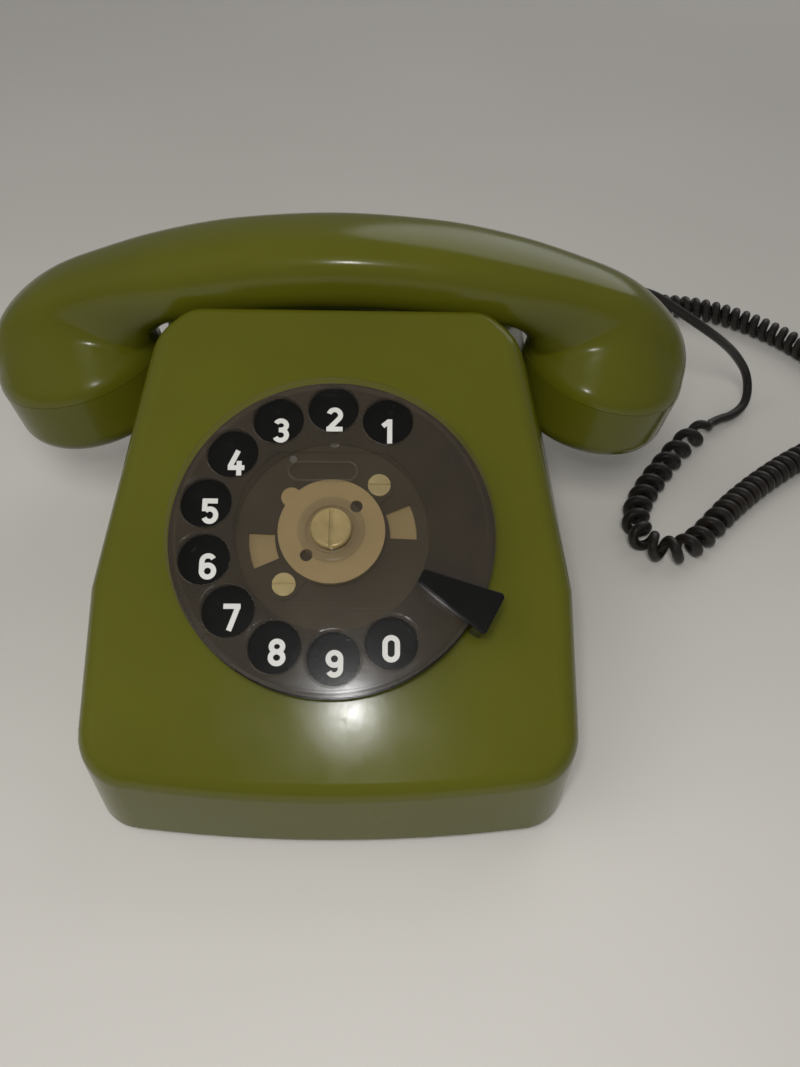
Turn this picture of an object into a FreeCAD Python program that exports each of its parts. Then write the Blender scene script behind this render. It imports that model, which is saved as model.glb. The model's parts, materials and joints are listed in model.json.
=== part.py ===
import FreeCAD, Part
import math
import os
from FreeCAD import Placement, Rotation, Vector

# Rotary desk telephone: a moulded wedge housing on a flat base, a dial on the sloped panel,
# a bell ringer and a speech circuit inside, and a handset lying in the cradle on top.
# Millimetres, X to the right, Y to the back, Z up, origin under the middle of the body on the table.

os.makedirs("parts", exist_ok=True)

# Housing
body_depth = 184.0
body_half_width = 64.2
housing_wall = 2.6
housing_bottom = 3.0
apron_height = 27.0
panel_slope = 28.8
crest_distance = 136.5
side_shoulder = 48.0
side_lean = 0.33
front_bow = 5.0
corner_radius = 14.0
edge_radius = 6.0
rear_knee_height = 36.0
rear_top_y = 64.0
rear_top_z = 70.0

# Cradle
trough_floor = 66.0
trough_front_gap = 1.3
trough_rear_y = 61.0
saddle_x = 36.0
saddle_half_length = 7.0
saddle_half_depth = 8.5
horn_thickness = 4.0
horn_height = 88.0
rest_gap = 0.3
crest_radius = 2.5

# Base
base_thickness = 2.0
base_bottom = 3.5
base_gap = 0.3
foot_radius = 7.0
foot_side_inset = 19.2
foot_end_inset = 20.0
plug_radius = 3.0
boss_radius = 5.0
boss_height = 24.0
boss_side_inset = 7.2
boss_front_inset = 32.0
boss_rear_inset = 20.0
screw_radius = 1.5
screw_length = 14.0
screw_head_radius = 3.0
screw_head_height = 1.8
hole_gap = 0.1

# Dial, in its own frame: heights are measured out of the panel
dial_distance = 65.7
wheel_radius = 42.0
wheel_top = 12.0
wheel_thickness = 2.4
wheel_skirt = 3.0
wheel_rim = 1.8
finger_hole_radius = 6.6
finger_pitch_radius = 32.7
finger_step = 26.0
first_hole_angle = 64.2
label_radius = 24.6
label_flat = 20.3
label_depth = 0.9
badge_length = 17.0
badge_height = 4.4
badge_x = -2.5
badge_y = 15.4
badge_depth = 0.5
ring_inner_radius = 25.2
ring_thickness = 1.2
ring_lip = 0.6
plate_thickness = 1.5
frame_flange = 2.5
collar_outer = 38.2
collar_wall = 1.6
collar_depth = 14.5
panel_hole_gap = 0.2
shaft_radius = 3.0
bush_radius = 5.0
bush_flange = 1.0
hub_radius = 13.7
hub_thickness = 2.0
hub_sleeve_radius = 5.5
window_angle = 11.0
window_half_angle = 13.0
window_inner = 15.0
window_outer = 22.0
gear_web_radius = 22.3
gear_web_thickness = 0.5
plate_screw_radius = 18.0
plate_screw_angle = 48.0
running_gap = 0.05
seat_gap = 0.1
stop_angle = -28.5
stop_tip = 25.7
stop_gap = 0.5
stop_thickness = 1.6
stop_half_width = 5.9
stop_tip_half_width = 1.9
stop_foot = 3.6

# Dial gear train
gear_module = 0.8
main_teeth = 52
pinion_teeth = 13
main_gear_thickness = 2.8
main_gear_gap = 0.9
main_boss_height = 1.8
governor_module = 0.5
governor_gear_teeth = 36
governor_pinion_teeth = 12
governor_gear_thickness = 1.5
governor_direction = 204.0
tooth_addendum = 0.9
tooth_dedendum = 1.15
pressure_angle = 25.0
tooth_play = 0.14
pulse_shaft_radius = 1.5
governor_shaft_radius = 1.0
cam_thickness = 1.6
cam_lobes = 3
cam_radius = 3.6
cam_lift = 1.0
drum_radius = 8.4
drum_wall = 1.1
drum_depth = 7.0

# Springs
return_wire = 0.5
return_coil_radius = 7.0
return_turns = 5
hook_wire = 0.45
hook_coil_radius = 4.0
hook_turns = 7

# Ringer
gong_radius = 21.0
gong_height = 13.0
gong_wall = 1.2
gong_x = 26.0
gong_rear_gap = 9.0
gong_top = 27.0
gong_post_radius = 3.0
ringer_frame_thickness = 1.5
clapper_reach = 21.0
clapper_height = 20.0
clapper_ball_radius = 2.4
coil_x = 9.0
coil_pivot_gap = 15.0
coil_radius = 6.3
coil_height = 15.0
core_radius = 2.5
pole_gap = 2.6
armature_half_length = 12.0
knob_x = -44.0
knob_gong_gap = 23.0
knob_radius = 8.0
knob_arm_length = 23.6
knob_arm_angle = 38.0

# Hook switch
plunger_radius = 3.0
plunger_gap = 0.06
hook_bar_height = 50.0
hook_bar_thickness = 3.0
hook_beam_thickness = 3.0
hook_beam_clearance = 0.4
hook_leg_gap = 2.0
hook_leg_width = 4.0
hook_beam_depth = 5.0
hook_beam_offset = 8.0

# Speech circuit
board_side_inset = 22.2
board_depth = 48.0
board_front_inset = 14.0
board_height = 11.0
board_thickness = 1.6
board_post_radius = 2.6

# Handset
handset_y = 43.5
handle_top = 108.0
handle_thickness = 23.5
handle_half_depth = 15.0
handle_squareness = 0.72
handle_arch_radius = 228.0
handle_station = 24.0
bend_x = 47.0
bend_radius = 12.0
cup_radius = 26.5
cup_angle = 100.0
cap_height = 21.0
cap_wall = 2.6
cap_edge_radius = 7.0
cap_gap = 0.15
thread_inset = 3.2
thread_length = 7.0
capsule_inset = 2.5
capsule_depth = 8.0
cup_clearance = 2.8
cup_recess_floor = 36.0
sound_hole_radius = 1.3

# Cords
wire_radius = 1.6
curl_radius = 3.3
tight_pitch = 4.7
bend_pitch = 6.8
open_pitch = 11.3
start_pitch = 10.0
floor_gap = 0.3
gland_radius = 2.8
body_gland_x = 38.0
body_gland_z = 14.0
body_gland_reach = 8.0
line_inlet_x = -38.0
handset_gland_angle = 68.0
handset_gland_rise = 2.7
handset_gland_reach = 7.0
gland_flare = 1.0
gland_lip = 0.6

# Worked-out places
front_y = -body_depth / 2
rear_y = body_depth / 2
slope = math.radians(panel_slope)
slope_cos = math.cos(slope)
slope_sin = math.sin(slope)
crest_y = front_y + crest_distance * slope_cos
crest_z = apron_height + crest_distance * slope_sin
base_top = base_bottom + base_thickness
dial_y = front_y + dial_distance * slope_cos
dial_z = apron_height + dial_distance * slope_sin
dial_place = Placement(Vector(0, dial_y, dial_z), Rotation(Vector(1, 0, 0), panel_slope))
plate_bottom = frame_flange
plate_top = plate_bottom + plate_thickness
ring_top = plate_top + ring_thickness
wheel_bottom = wheel_top - wheel_thickness
gear_top = plate_bottom - main_gear_gap
gear_bottom = gear_top - main_gear_thickness
gear_web_top = gear_top + gear_web_thickness
rear_plate_top = -collar_depth
rear_plate_bottom = rear_plate_top - plate_thickness
collar_inner = collar_outer - collar_wall
handle_bottom = handle_top - handle_thickness
bend_fall = bend_x * bend_x / (2 * handle_arch_radius)
bend_z = handle_bottom - bend_fall - bend_radius
gong_y = rear_y - gong_rear_gap - gong_radius
clapper_pivot_y = gong_y - 1.0 - clapper_reach
coil_y = clapper_pivot_y - coil_pivot_gap
knob_y = gong_y - gong_radius - knob_gong_gap
gong_screw_top = gong_top + 1.6
hook_post_height = gong_screw_top + hook_beam_clearance + hook_beam_thickness
board_half_width = body_half_width - board_side_inset
board_front_y = front_y + board_front_inset
board_back_y = board_front_y + board_depth
foot_x = body_half_width - foot_side_inset
foot_y = rear_y - foot_end_inset
boss_x = body_half_width - boss_side_inset
boss_front_y = front_y + boss_front_inset
boss_rear_y = rear_y - boss_rear_inset
cup_axis_radius = bend_radius + cup_radius
thread_radius = cup_radius - thread_inset
capsule_radius = thread_radius - capsule_inset
cup_tilt = math.radians(cup_angle - 90.0)
cup_x = bend_x + cup_axis_radius * math.cos(cup_tilt)
cup_z = bend_z - cup_axis_radius * math.sin(cup_tilt)


def write(name, shape):
    shape.exportStep("parts/" + name + ".step")


def block(x0, x1, y0, y1, z0, z1):
    return Part.makeBox(x1 - x0, y1 - y0, z1 - z0, Vector(x0, y0, z0))


def rod(radius, z0, z1, x=0.0, y=0.0):
    return Part.makeCylinder(radius, z1 - z0, Vector(x, y, z0))


def tube(outer, inner, z0, z1, x=0.0, y=0.0):
    return rod(outer, z0, z1, x, y).cut(rod(inner, z0, z1, x, y))


def polar(radius, degrees):
    angle = math.radians(degrees)
    return radius * math.cos(angle), radius * math.sin(angle)


def polygon_prism(points, place, sweep):
    corners = [place(a, b) for a, b in points]
    return Part.Face(Part.makePolygon(corners + corners[:1])).extrude(sweep)


def revolved(points):
    corners = [Vector(r, 0, z) for r, z in points]
    face = Part.Face(Part.makePolygon(corners + corners[:1]))
    return face.revolve(Vector(0, 0, 0), Vector(0, 0, 1), 360)


def group(shapes):
    return Part.makeCompound(shapes)


def on_dial(shape):
    placed = shape.copy()
    placed.Placement = dial_place.multiply(placed.Placement)
    return placed


# Outline of a polygon moved inwards by a distance, corner by corner
def inset_polygon(points, inset):
    lines = []
    count = len(points)
    for i in range(count):
        x0, y0 = points[i]
        x1, y1 = points[(i + 1) % count]
        length = math.hypot(x1 - x0, y1 - y0)
        across = (y1 - y0) / length
        along = -(x1 - x0) / length
        lines.append((across, along, across * x0 + along * y0 + inset))
    corners = []
    for i in range(count):
        a0, b0, c0 = lines[i - 1]
        a1, b1, c1 = lines[i]
        det = a0 * b1 - b0 * a1
        corners.append(((c0 * b1 - c1 * b0) / det, (a0 * c1 - a1 * c0) / det))
    return corners


# Plan outline with a bowed front, as an upright prism
def plan_prism(inset, z0, z1):
    half = body_half_width - inset
    rear = rear_y - inset
    bow_radius = (body_half_width**2 + front_bow**2) / (2 * front_bow)
    bow_centre = front_y + bow_radius
    corner_y = bow_centre - math.sqrt((bow_radius - inset) ** 2 - half**2)
    left_corner = Vector(-half, corner_y, z0)
    right_corner = Vector(half, corner_y, z0)
    edges = [
        Part.Arc(left_corner, Vector(0, front_y + inset, z0), right_corner).toShape(),
        Part.makeLine(right_corner, Vector(half, rear, z0)),
        Part.makeLine(Vector(half, rear, z0), Vector(-half, rear, z0)),
        Part.makeLine(Vector(-half, rear, z0), left_corner),
    ]
    prism = Part.Face(Part.Wire(edges)).extrude(Vector(0, 0, z1 - z0))
    upright = [e for e in prism.Edges if abs(e.tangentAt(e.FirstParameter).z) > 0.9]
    return prism.makeFillet(corner_radius - inset, upright)


# Wedge body with every edge rounded: a sharp core grown outwards by the edge radius
def wedge_body(shrink):
    deep = housing_bottom - 40.0
    tall = crest_z + 30.0
    ahead = front_y - 30.0
    side = [
        (ahead, deep),
        (ahead, apron_height + (ahead - front_y) * math.tan(slope)),
        (crest_y, crest_z),
        (rear_top_y, rear_top_z),
        (rear_y, rear_knee_height),
        (rear_y, deep),
    ]
    lean_foot = body_half_width + 20.0
    lean_low = side_shoulder - 20.0 / side_lean
    lean_top = body_half_width - side_lean * (tall - side_shoulder)
    face = [
        (-lean_foot, deep - 60.0),
        (-lean_foot, lean_low),
        (-lean_top, tall),
        (lean_top, tall),
        (lean_foot, lean_low),
        (lean_foot, deep - 60.0),
    ]
    reach = body_half_width + 30.0
    wedge = polygon_prism(
        inset_polygon(side, edge_radius), lambda y, z: Vector(-reach, y, z), Vector(2 * reach, 0, 0)
    )
    leaning = polygon_prism(
        inset_polygon(face, edge_radius), lambda x, z: Vector(x, -body_depth, z), Vector(0, 2 * body_depth, 0)
    )
    core = wedge.common(plan_prism(edge_radius, deep, tall)).common(leaning).removeSplitter()
    return core.makeOffsetShape(edge_radius - shrink, 0.001)


# Trough behind the crest, in which the handle lies
def trough(grow):
    wall_y = handset_y - handle_half_depth - trough_front_gap
    outline = [
        (wall_y - grow, crest_z + 40.0),
        (wall_y - grow, crest_z - 6.0),
        (wall_y + 4.0 - grow, trough_floor - grow),
        (trough_rear_y + grow, trough_floor - grow),
        (trough_rear_y + 3.0 + grow, rear_top_z + 40.0),
    ]
    reach = body_half_width + 5.0
    return polygon_prism(outline, lambda y, z: Vector(-reach, y, z), Vector(2 * reach, 0, 0))


# Side recesses in which the handset cups hang
def cup_recess(side, grow):
    radius = cup_radius + cup_clearance + grow
    return rod(radius, cup_recess_floor - grow, crest_z + 40.0, side * cup_x, handset_y)


def handle_underside(x):
    return handle_bottom - x * x / (2 * handle_arch_radius)


def saddle(side):
    inner = saddle_x - saddle_half_length
    outer = saddle_x + saddle_half_length
    foot = trough_floor - housing_wall - 3.0
    outline = [
        (side * inner, foot),
        (side * outer, foot),
        (side * outer, handle_underside(outer) - rest_gap),
        (side * inner, handle_underside(inner) - rest_gap),
    ]
    pad = polygon_prism(
        outline,
        lambda x, z: Vector(x, handset_y - saddle_half_depth, z),
        Vector(0, 2 * saddle_half_depth, 0),
    )
    horn_y = handset_y + handle_half_depth + 0.7
    low_x = min(side * inner, side * outer)
    arm = block(low_x, low_x + 2 * saddle_half_length, handset_y, horn_y + horn_thickness, foot, trough_floor + 6.0)
    horn = block(low_x, low_x + 2 * saddle_half_length, horn_y, horn_y + horn_thickness, foot, horn_height)
    top = [e for e in horn.Edges if abs(e.CenterOfMass.z - horn_height) < 0.01]
    return pad.fuse(arm).fuse(horn.makeFillet(1.5, top))


# What is taken off the long edge where the panel meets the trough, to leave it round
def crest_waste():
    wall_y = handset_y - handle_half_depth - trough_front_gap
    corner = Vector(0, wall_y, apron_height + (wall_y - front_y) * math.tan(slope))
    down_panel = Vector(0, -slope_cos, -slope_sin)
    down_wall = Vector(0, 0, -1)
    half = down_panel.getAngle(down_wall) / 2
    inward = (down_panel + down_wall).normalize()
    on_panel = corner + down_panel * (crest_radius / math.tan(half))
    on_wall = corner + down_wall * (crest_radius / math.tan(half))
    crown = corner + inward * (crest_radius / math.sin(half) - crest_radius)
    beyond = corner - inward * crest_radius
    edges = [
        Part.makeLine(on_panel, beyond),
        Part.makeLine(beyond, on_wall),
        Part.Arc(on_wall, crown, on_panel).toShape(),
    ]
    reach = body_half_width + 5.0
    waste = Part.Face(Part.Wire(edges)).extrude(Vector(2 * reach, 0, 0))
    waste.translate(Vector(-reach, 0, 0))
    return waste


def boss_places():
    return [(side * boss_x, y) for side in (-1, 1) for y in (boss_front_y, boss_rear_y)]


def housing():
    outer = wedge_body(0.0)
    inner = wedge_body(housing_wall).cut(trough(housing_wall))
    outer = outer.cut(trough(0.0))
    for side in (-1, 1):
        outer = outer.cut(cup_recess(side, 0.0))
        inner = inner.cut(cup_recess(side, housing_wall))
    outer = outer.cut(crest_waste())
    shell = outer.cut(inner)
    for side in (-1, 1):
        shell = shell.fuse(saddle(side))
    for x, y in boss_places():
        boss = rod(boss_radius, base_top, base_top + boss_height, x, y).common(outer)
        shell = shell.fuse(boss)
    reach = body_depth
    shell = shell.cut(block(-reach, reach, -reach, reach, -reach, housing_bottom))
    for side in (-1, 1):
        shell = shell.cut(rod(plunger_radius + plunger_gap, 0.0, crest_z, side * saddle_x, handset_y))
    for x, y in boss_places():
        shell = shell.cut(rod(screw_radius + hole_gap, 0.0, base_top + screw_length, x, y))
    hole = rod(collar_outer + panel_hole_gap, -collar_depth, wheel_top)
    shell = shell.cut(on_dial(hole))
    for x, radius in ((body_gland_x, gland_radius), (line_inlet_x, gland_radius)):
        passage = Part.makeCylinder(radius + seat_gap, 20.0, Vector(x, rear_y - 10.0, body_gland_z), Vector(0, 1, 0))
        shell = shell.cut(passage)
    return shell.removeSplitter()


def base_plate():
    plate = plan_prism(housing_wall + base_gap, base_bottom, base_top)
    for x, y in boss_places():
        plate = plate.cut(rod(screw_radius + hole_gap, 0.0, base_top + 1.0, x, y))
    for x, y in foot_places():
        plate = plate.cut(rod(plug_radius + hole_gap, 0.0, base_top + 1.0, x, y))
    return plate.cut(rod(knob_hole_radius(), 0.0, base_top + 1.0, knob_x, knob_y))


def knob_hole_radius():
    return knob_radius - 3.0


def foot_places():
    return [(side * foot_x, end * foot_y) for side in (-1, 1) for end in (-1, 1)]


def rubber_foot(x, y):
    pad = rod(foot_radius, 0.0, base_bottom, x, y)
    rim = [e for e in pad.Edges if abs(e.CenterOfMass.z) < 0.01]
    return pad.makeFillet(1.0, rim).fuse(rod(plug_radius, base_bottom, base_top + 1.0, x, y))


def housing_screw(x, y):
    head = rod(screw_head_radius, base_bottom - screw_head_height, base_bottom, x, y)
    slot = block(x - 0.4, x + 0.4, y - 4.0, y + 4.0, 0.0, base_bottom - screw_head_height + 0.7)
    return head.cut(slot).fuse(rod(screw_radius, base_bottom, base_top + screw_length - 1.0, x, y))


# Dial pieces that stand still
def dial_frame():
    flange = tube(wheel_radius + 0.3, collar_inner, 0.0, frame_flange)
    return flange.fuse(tube(collar_outer, collar_inner, -collar_depth, frame_flange))


def clamp_ring():
    top = -housing_wall - seat_gap
    return tube(collar_outer + 5.0, collar_outer + seat_gap, top - 2.0, top)


def window(angle):
    start = angle - window_half_angle
    outer = Part.makeCylinder(window_outer, 10.0, Vector(0, 0, 0), Vector(0, 0, 1), 2 * window_half_angle)
    inner = rod(window_inner, 0.0, 10.0)
    sector = outer.cut(inner)
    sector.rotate(Vector(0, 0, 0), Vector(0, 0, 1), start)
    return sector


def plate_screw_places():
    return [polar(plate_screw_radius, plate_screw_angle + turn) for turn in (0.0, 180.0)]


def pulse_place():
    return polar(gear_module * (main_teeth + pinion_teeth) / 2, 90.0)


def governor_place():
    x, y = pulse_place()
    dx, dy = polar(governor_module * (governor_gear_teeth + governor_pinion_teeth) / 2, governor_direction)
    return x + dx, y + dy


def dial_plate():
    plate = rod(wheel_radius - 0.8, plate_bottom, plate_top)
    plate = plate.cut(rod(bush_radius + running_gap, plate_bottom, plate_top))
    for turn in (0.0, 180.0):
        plate = plate.cut(window(window_angle + turn))
    for x, y in plate_screw_places():
        plate = plate.cut(rod(screw_radius, plate_bottom, plate_top, x, y))
    return bearing_holes(plate, plate_bottom, plate_top)


def bearing_holes(plate, z0, z1):
    for place, radius in ((pulse_place(), pulse_shaft_radius), (governor_place(), governor_shaft_radius)):
        plate = plate.cut(rod(radius + running_gap, z0, z1, place[0], place[1]))
    return plate


def rear_plate():
    plate = rod(collar_outer, rear_plate_bottom, rear_plate_top)
    plate = plate.cut(rod(shaft_radius + running_gap, rear_plate_bottom, rear_plate_top))
    return bearing_holes(plate, rear_plate_bottom, rear_plate_top)


def bearing_bush():
    top = plate_top + bush_flange
    flange = rod(hub_sleeve_radius + 2.5, plate_top, top)
    for x, y in plate_screw_places():
        ear = rod(screw_head_radius + 0.8, plate_top, top, x, y)
        web = block(0.0, plate_screw_radius, -3.4, 3.4, plate_top, top)
        web.rotate(Vector(0, 0, 0), Vector(0, 0, 1), math.degrees(math.atan2(y, x)))
        flange = flange.fuse(ear).fuse(web)
    bush = flange.fuse(rod(bush_radius, gear_web_top + rest_gap, plate_top))
    bush = bush.cut(rod(shaft_radius + running_gap, gear_bottom, top))
    for x, y in plate_screw_places():
        bush = bush.cut(rod(screw_radius, plate_top, top, x, y))
    return bush.removeSplitter()


def plate_screw(x, y):
    seat = plate_top + bush_flange
    head = rod(screw_head_radius, seat, seat + 1.2, x, y)
    slot = block(x - 4.0, x + 4.0, y - 0.35, y + 0.35, seat + 0.6, seat + 2.0)
    return head.cut(slot).fuse(rod(screw_radius - hole_gap, plate_bottom, seat, x, y))


def number_ring():
    outer = wheel_radius + 0.3
    lip = outer - 0.9
    top = ring_top + ring_lip
    profile = [
        (ring_inner_radius, plate_top),
        (outer, plate_top),
        (outer, top),
        (lip, top),
        (lip - 0.8, ring_top),
        (ring_inner_radius, ring_top),
    ]
    return revolved(profile)


def finger_stop():
    low = wheel_top + stop_gap
    high = low + stop_thickness
    near = wheel_radius + 0.9
    far = near + stop_foot
    blade = polygon_prism(
        [
            (stop_tip, -stop_tip_half_width),
            (far, -stop_half_width),
            (far, stop_half_width),
            (stop_tip, stop_tip_half_width),
        ],
        lambda a, b: Vector(a, b, low),
        Vector(0, 0, stop_thickness),
    )
    rim = [e for e in blade.Edges if abs(e.tangentAt(e.FirstParameter).z) > 0.9]
    blade = blade.makeFillet(min(stop_tip_half_width, stop_foot) * 0.6, rim)
    foot = block(near, far - 0.6, -stop_half_width + 1.2, stop_half_width - 1.2, 0.0, low + 0.5 * stop_thickness)
    stop = blade.fuse(foot).removeSplitter()
    top = [e for e in stop.Edges if abs(e.CenterOfMass.z - high) < 0.01]
    stop = stop.makeFillet(0.4, top)
    stop.rotate(Vector(0, 0, 0), Vector(0, 0, 1), stop_angle)
    return stop


# Dial pieces that turn with the finger wheel
def finger_wheel():
    rim_inner = wheel_radius - wheel_rim
    skirt = wheel_bottom - wheel_skirt
    profile = [
        (0.0, wheel_bottom),
        (rim_inner, wheel_bottom),
        (rim_inner, skirt),
        (wheel_radius, skirt),
        (wheel_radius, wheel_top - 0.9),
        (wheel_radius - 0.9, wheel_top),
        (0.0, wheel_top),
    ]
    wheel = revolved(profile)
    label = rod(label_radius, wheel_top - label_depth, wheel_top + 1.0)
    label = label.common(block(-50.0, 50.0, -label_flat, label_flat, 0.0, 50.0))
    wheel = wheel.cut(label).cut(badge_recess())
    for index in range(10):
        x, y = polar(finger_pitch_radius, first_hole_angle + index * finger_step)
        wheel = wheel.cut(rod(finger_hole_radius, wheel_bottom - 1.0, wheel_top + 1.0, x, y))
    lips = []
    for edge in wheel.Edges:
        round_edge = isinstance(edge.Curve, Part.Circle) and abs(edge.Curve.Radius - finger_hole_radius) < 0.01
        if round_edge and abs(edge.CenterOfMass.z - wheel_top) < 0.01:
            lips.append(edge)
    wheel = wheel.makeFillet(0.7, lips)
    return wheel.cut(rod(screw_radius + hole_gap, 0.0, wheel_top + 1.0))


def badge_recess():
    low = wheel_top - label_depth - badge_depth
    end = badge_height / 2
    reach = badge_length / 2 - end
    slot = block(badge_x - reach, badge_x + reach, badge_y - end, badge_y + end, low, wheel_top)
    for side in (-1, 1):
        slot = slot.fuse(rod(end, low, wheel_top, badge_x + side * reach, badge_y))
    return slot.removeSplitter()


def drive_hub():
    top = wheel_bottom - seat_gap
    low = top - hub_thickness
    sleeve = plate_top + bush_flange + rest_gap
    hub = rod(hub_radius, low, top).fuse(rod(hub_sleeve_radius, sleeve, low))
    lug_x, lug_y = polar(hub_radius, 140.0)
    hub = hub.fuse(rod(2.6, low, top, lug_x, lug_y))
    for turn in (0.0, 180.0):
        x, y = polar(9.0, 46.0 + turn)
        hub = hub.cut(rod(1.6, low, top, x, y))
    hub = hub.cut(tube(hub_sleeve_radius + 1.2, hub_sleeve_radius + 0.4, top - 0.5, top + 1.0))
    return hub.cut(rod(shaft_radius + running_gap, sleeve, top)).removeSplitter()


def wheel_screw():
    seat = wheel_top - label_depth
    head = rod(hub_sleeve_radius - 0.2, seat, seat + 1.5)
    rim = [e for e in head.Edges if abs(e.CenterOfMass.z - seat - 1.5) < 0.01]
    head = head.makeFillet(0.8, rim)
    head = head.cut(block(-0.5, 0.5, -9.0, 9.0, seat + 0.8, seat + 3.0))
    return head.fuse(rod(screw_radius, wheel_bottom - 5.0, seat))


def dial_shaft():
    top = wheel_bottom - seat_gap
    shaft = rod(shaft_radius, rear_plate_bottom - 1.2, top)
    return shaft.cut(rod(screw_radius + hole_gap, top - 7.0, top))


# Straight-sided points along an involute tooth, mirrored and repeated round the wheel
def gear(module, teeth, z0, z1, bore, phase):
    pitch = module * teeth / 2
    tip = pitch + tooth_addendum * module
    root = pitch - tooth_dedendum * module
    press = math.radians(pressure_angle)
    base = pitch * math.cos(press)
    half_thick = (math.pi * module - tooth_play) / (4 * pitch)

    def half_angle(radius):
        if radius <= base:
            return half_thick + math.tan(press) - press
        local = math.acos(base / radius)
        return half_thick + (math.tan(press) - press) - (math.tan(local) - local)

    start = max(base, root)
    radii = [start + (tip - start) * k / 3 for k in range(4)]
    corners = []
    for index in range(teeth):
        middle = math.radians(phase) + 2 * math.pi * index / teeth
        flank = [(root, half_angle(start))] + [(r, half_angle(r)) for r in radii]
        for radius, spread in flank:
            corners.append((radius * math.cos(middle - spread), radius * math.sin(middle - spread)))
        for radius, spread in reversed(flank):
            corners.append((radius * math.cos(middle + spread), radius * math.sin(middle + spread)))
    wheel = polygon_prism(corners, lambda x, y: Vector(x, y, z0), Vector(0, 0, z1 - z0))
    return wheel.cut(rod(bore, z0, z1))


def main_gear():
    wheel = gear(gear_module, main_teeth, gear_bottom, gear_top, shaft_radius + running_gap, 90.0)
    boss = tube(2 * shaft_radius, shaft_radius + running_gap, gear_bottom - main_boss_height, gear_bottom)
    web = tube(gear_web_radius, shaft_radius + running_gap, gear_top, gear_web_top)
    return wheel.fuse(boss).fuse(web).removeSplitter()


def pulse_pinion():
    x, y = pulse_place()
    phase = 90.0 + 180.0 + 180.0 / pinion_teeth
    top = gear_top - rest_gap
    pinion = gear(gear_module, pinion_teeth, gear_bottom, top, pulse_shaft_radius + running_gap, phase)
    pinion.translate(Vector(x, y, 0))
    return pinion


governor_gear_top = gear_bottom - 2.4
governor_gear_bottom = governor_gear_top - governor_gear_thickness
cam_top = governor_gear_bottom - 0.2
cam_bottom = cam_top - cam_thickness


def governor_gear():
    x, y = pulse_place()
    bore = pulse_shaft_radius + running_gap
    wheel = gear(
        governor_module, governor_gear_teeth, governor_gear_bottom, governor_gear_top, bore, governor_direction
    )
    wheel.translate(Vector(x, y, 0))
    return wheel


def governor_pinion():
    x, y = governor_place()
    phase = governor_direction + 180.0 + 180.0 / governor_pinion_teeth
    bore = governor_shaft_radius + running_gap
    pinion = gear(
        governor_module, governor_pinion_teeth, governor_gear_bottom, governor_gear_top, bore, phase
    )
    pinion.translate(Vector(x, y, 0))
    return pinion


def pulse_cam():
    x, y = pulse_place()
    cam = rod(cam_radius, cam_bottom, cam_top)
    for index in range(cam_lobes):
        lobe_x, lobe_y = polar(cam_radius - 0.6, 360.0 * index / cam_lobes)
        cam = cam.fuse(rod(0.6 + cam_lift, cam_bottom, cam_top, lobe_x, lobe_y))
    cam = cam.cut(rod(pulse_shaft_radius + running_gap, cam_bottom, cam_top)).removeSplitter()
    cam.translate(Vector(x, y, 0))
    return cam


def gear_shaft(place, radius):
    return rod(radius, rear_plate_bottom + 0.1, plate_top - 0.1, place[0], place[1])


def governor_drum():
    x, y = governor_place()
    return tube(drum_radius, drum_radius - drum_wall, rear_plate_top, rear_plate_top + drum_depth, x, y)


def governor_weights():
    x, y = governor_place()
    low = rear_plate_top + 0.8
    high = rear_plate_top + drum_depth - 1.0
    reach = drum_radius - drum_wall - 0.6
    rotor = rod(governor_shaft_radius + 1.4, low, high)
    ring = tube(reach, reach - 2.2, low + 0.6, high - 0.6)
    ring = ring.cut(block(-1.6, 1.6, -20.0, 20.0, rear_plate_bottom, 0.0))
    spring_arm = block(-reach + 1.0, reach - 1.0, -0.4, 0.4, low + 1.2, high - 1.2)
    rotor = rotor.fuse(ring).fuse(spring_arm)
    rotor = rotor.cut(rod(governor_shaft_radius + running_gap, low, high))
    rotor.translate(Vector(x, y, 0))
    return rotor


def pulse_contacts():
    x, y = pulse_place()
    near = y - cam_radius - cam_lift - 0.5
    insulator = block(12.0, 19.0, near - 4.0, near + 0.6, rear_plate_top, cam_top)
    leaves = insulator
    for offset in (0.0, 1.6):
        low_y = near - 0.4 - offset
        leaves = leaves.fuse(block(x - 4.0, 13.0, low_y, low_y + 0.4, cam_bottom, cam_top))
    return leaves.removeSplitter()


# Ringer
def gong(side):
    flat = gong_post_radius + gong_wall + 0.5
    outer = [(flat, gong_height), (0.62 * gong_radius, gong_height - 0.8)]
    outer += [(0.9 * gong_radius, 0.6 * gong_height), (gong_radius, 0.0)]
    inner = [(radius - gong_wall, max(z - gong_wall, 0.0)) for radius, z in reversed(outer)]
    bore = screw_radius + hole_gap
    profile = [(bore, gong_height)] + outer + inner + [(bore, gong_height - gong_wall)]
    bowl = revolved(profile)
    bowl.translate(Vector(side * gong_x, gong_y, gong_top - gong_height))
    return bowl


def gong_post(side):
    post = rod(gong_post_radius, base_top, gong_top - gong_wall, side * gong_x, gong_y)
    return post.cut(rod(screw_radius + hole_gap, gong_top - 12.0, gong_top, side * gong_x, gong_y))


def gong_screw(side):
    x = side * gong_x
    head = rod(screw_head_radius + 0.5, gong_top, gong_screw_top, x, gong_y)
    head = head.cut(block(x - 4.0, x + 4.0, gong_y - 0.4, gong_y + 0.4, gong_top + 0.9, gong_top + 2.0))
    return head.fuse(rod(screw_radius, gong_top - 10.0, gong_top, x, gong_y))


frame_top = base_top + ringer_frame_thickness
pole_top = frame_top + coil_height + 4.0


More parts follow.
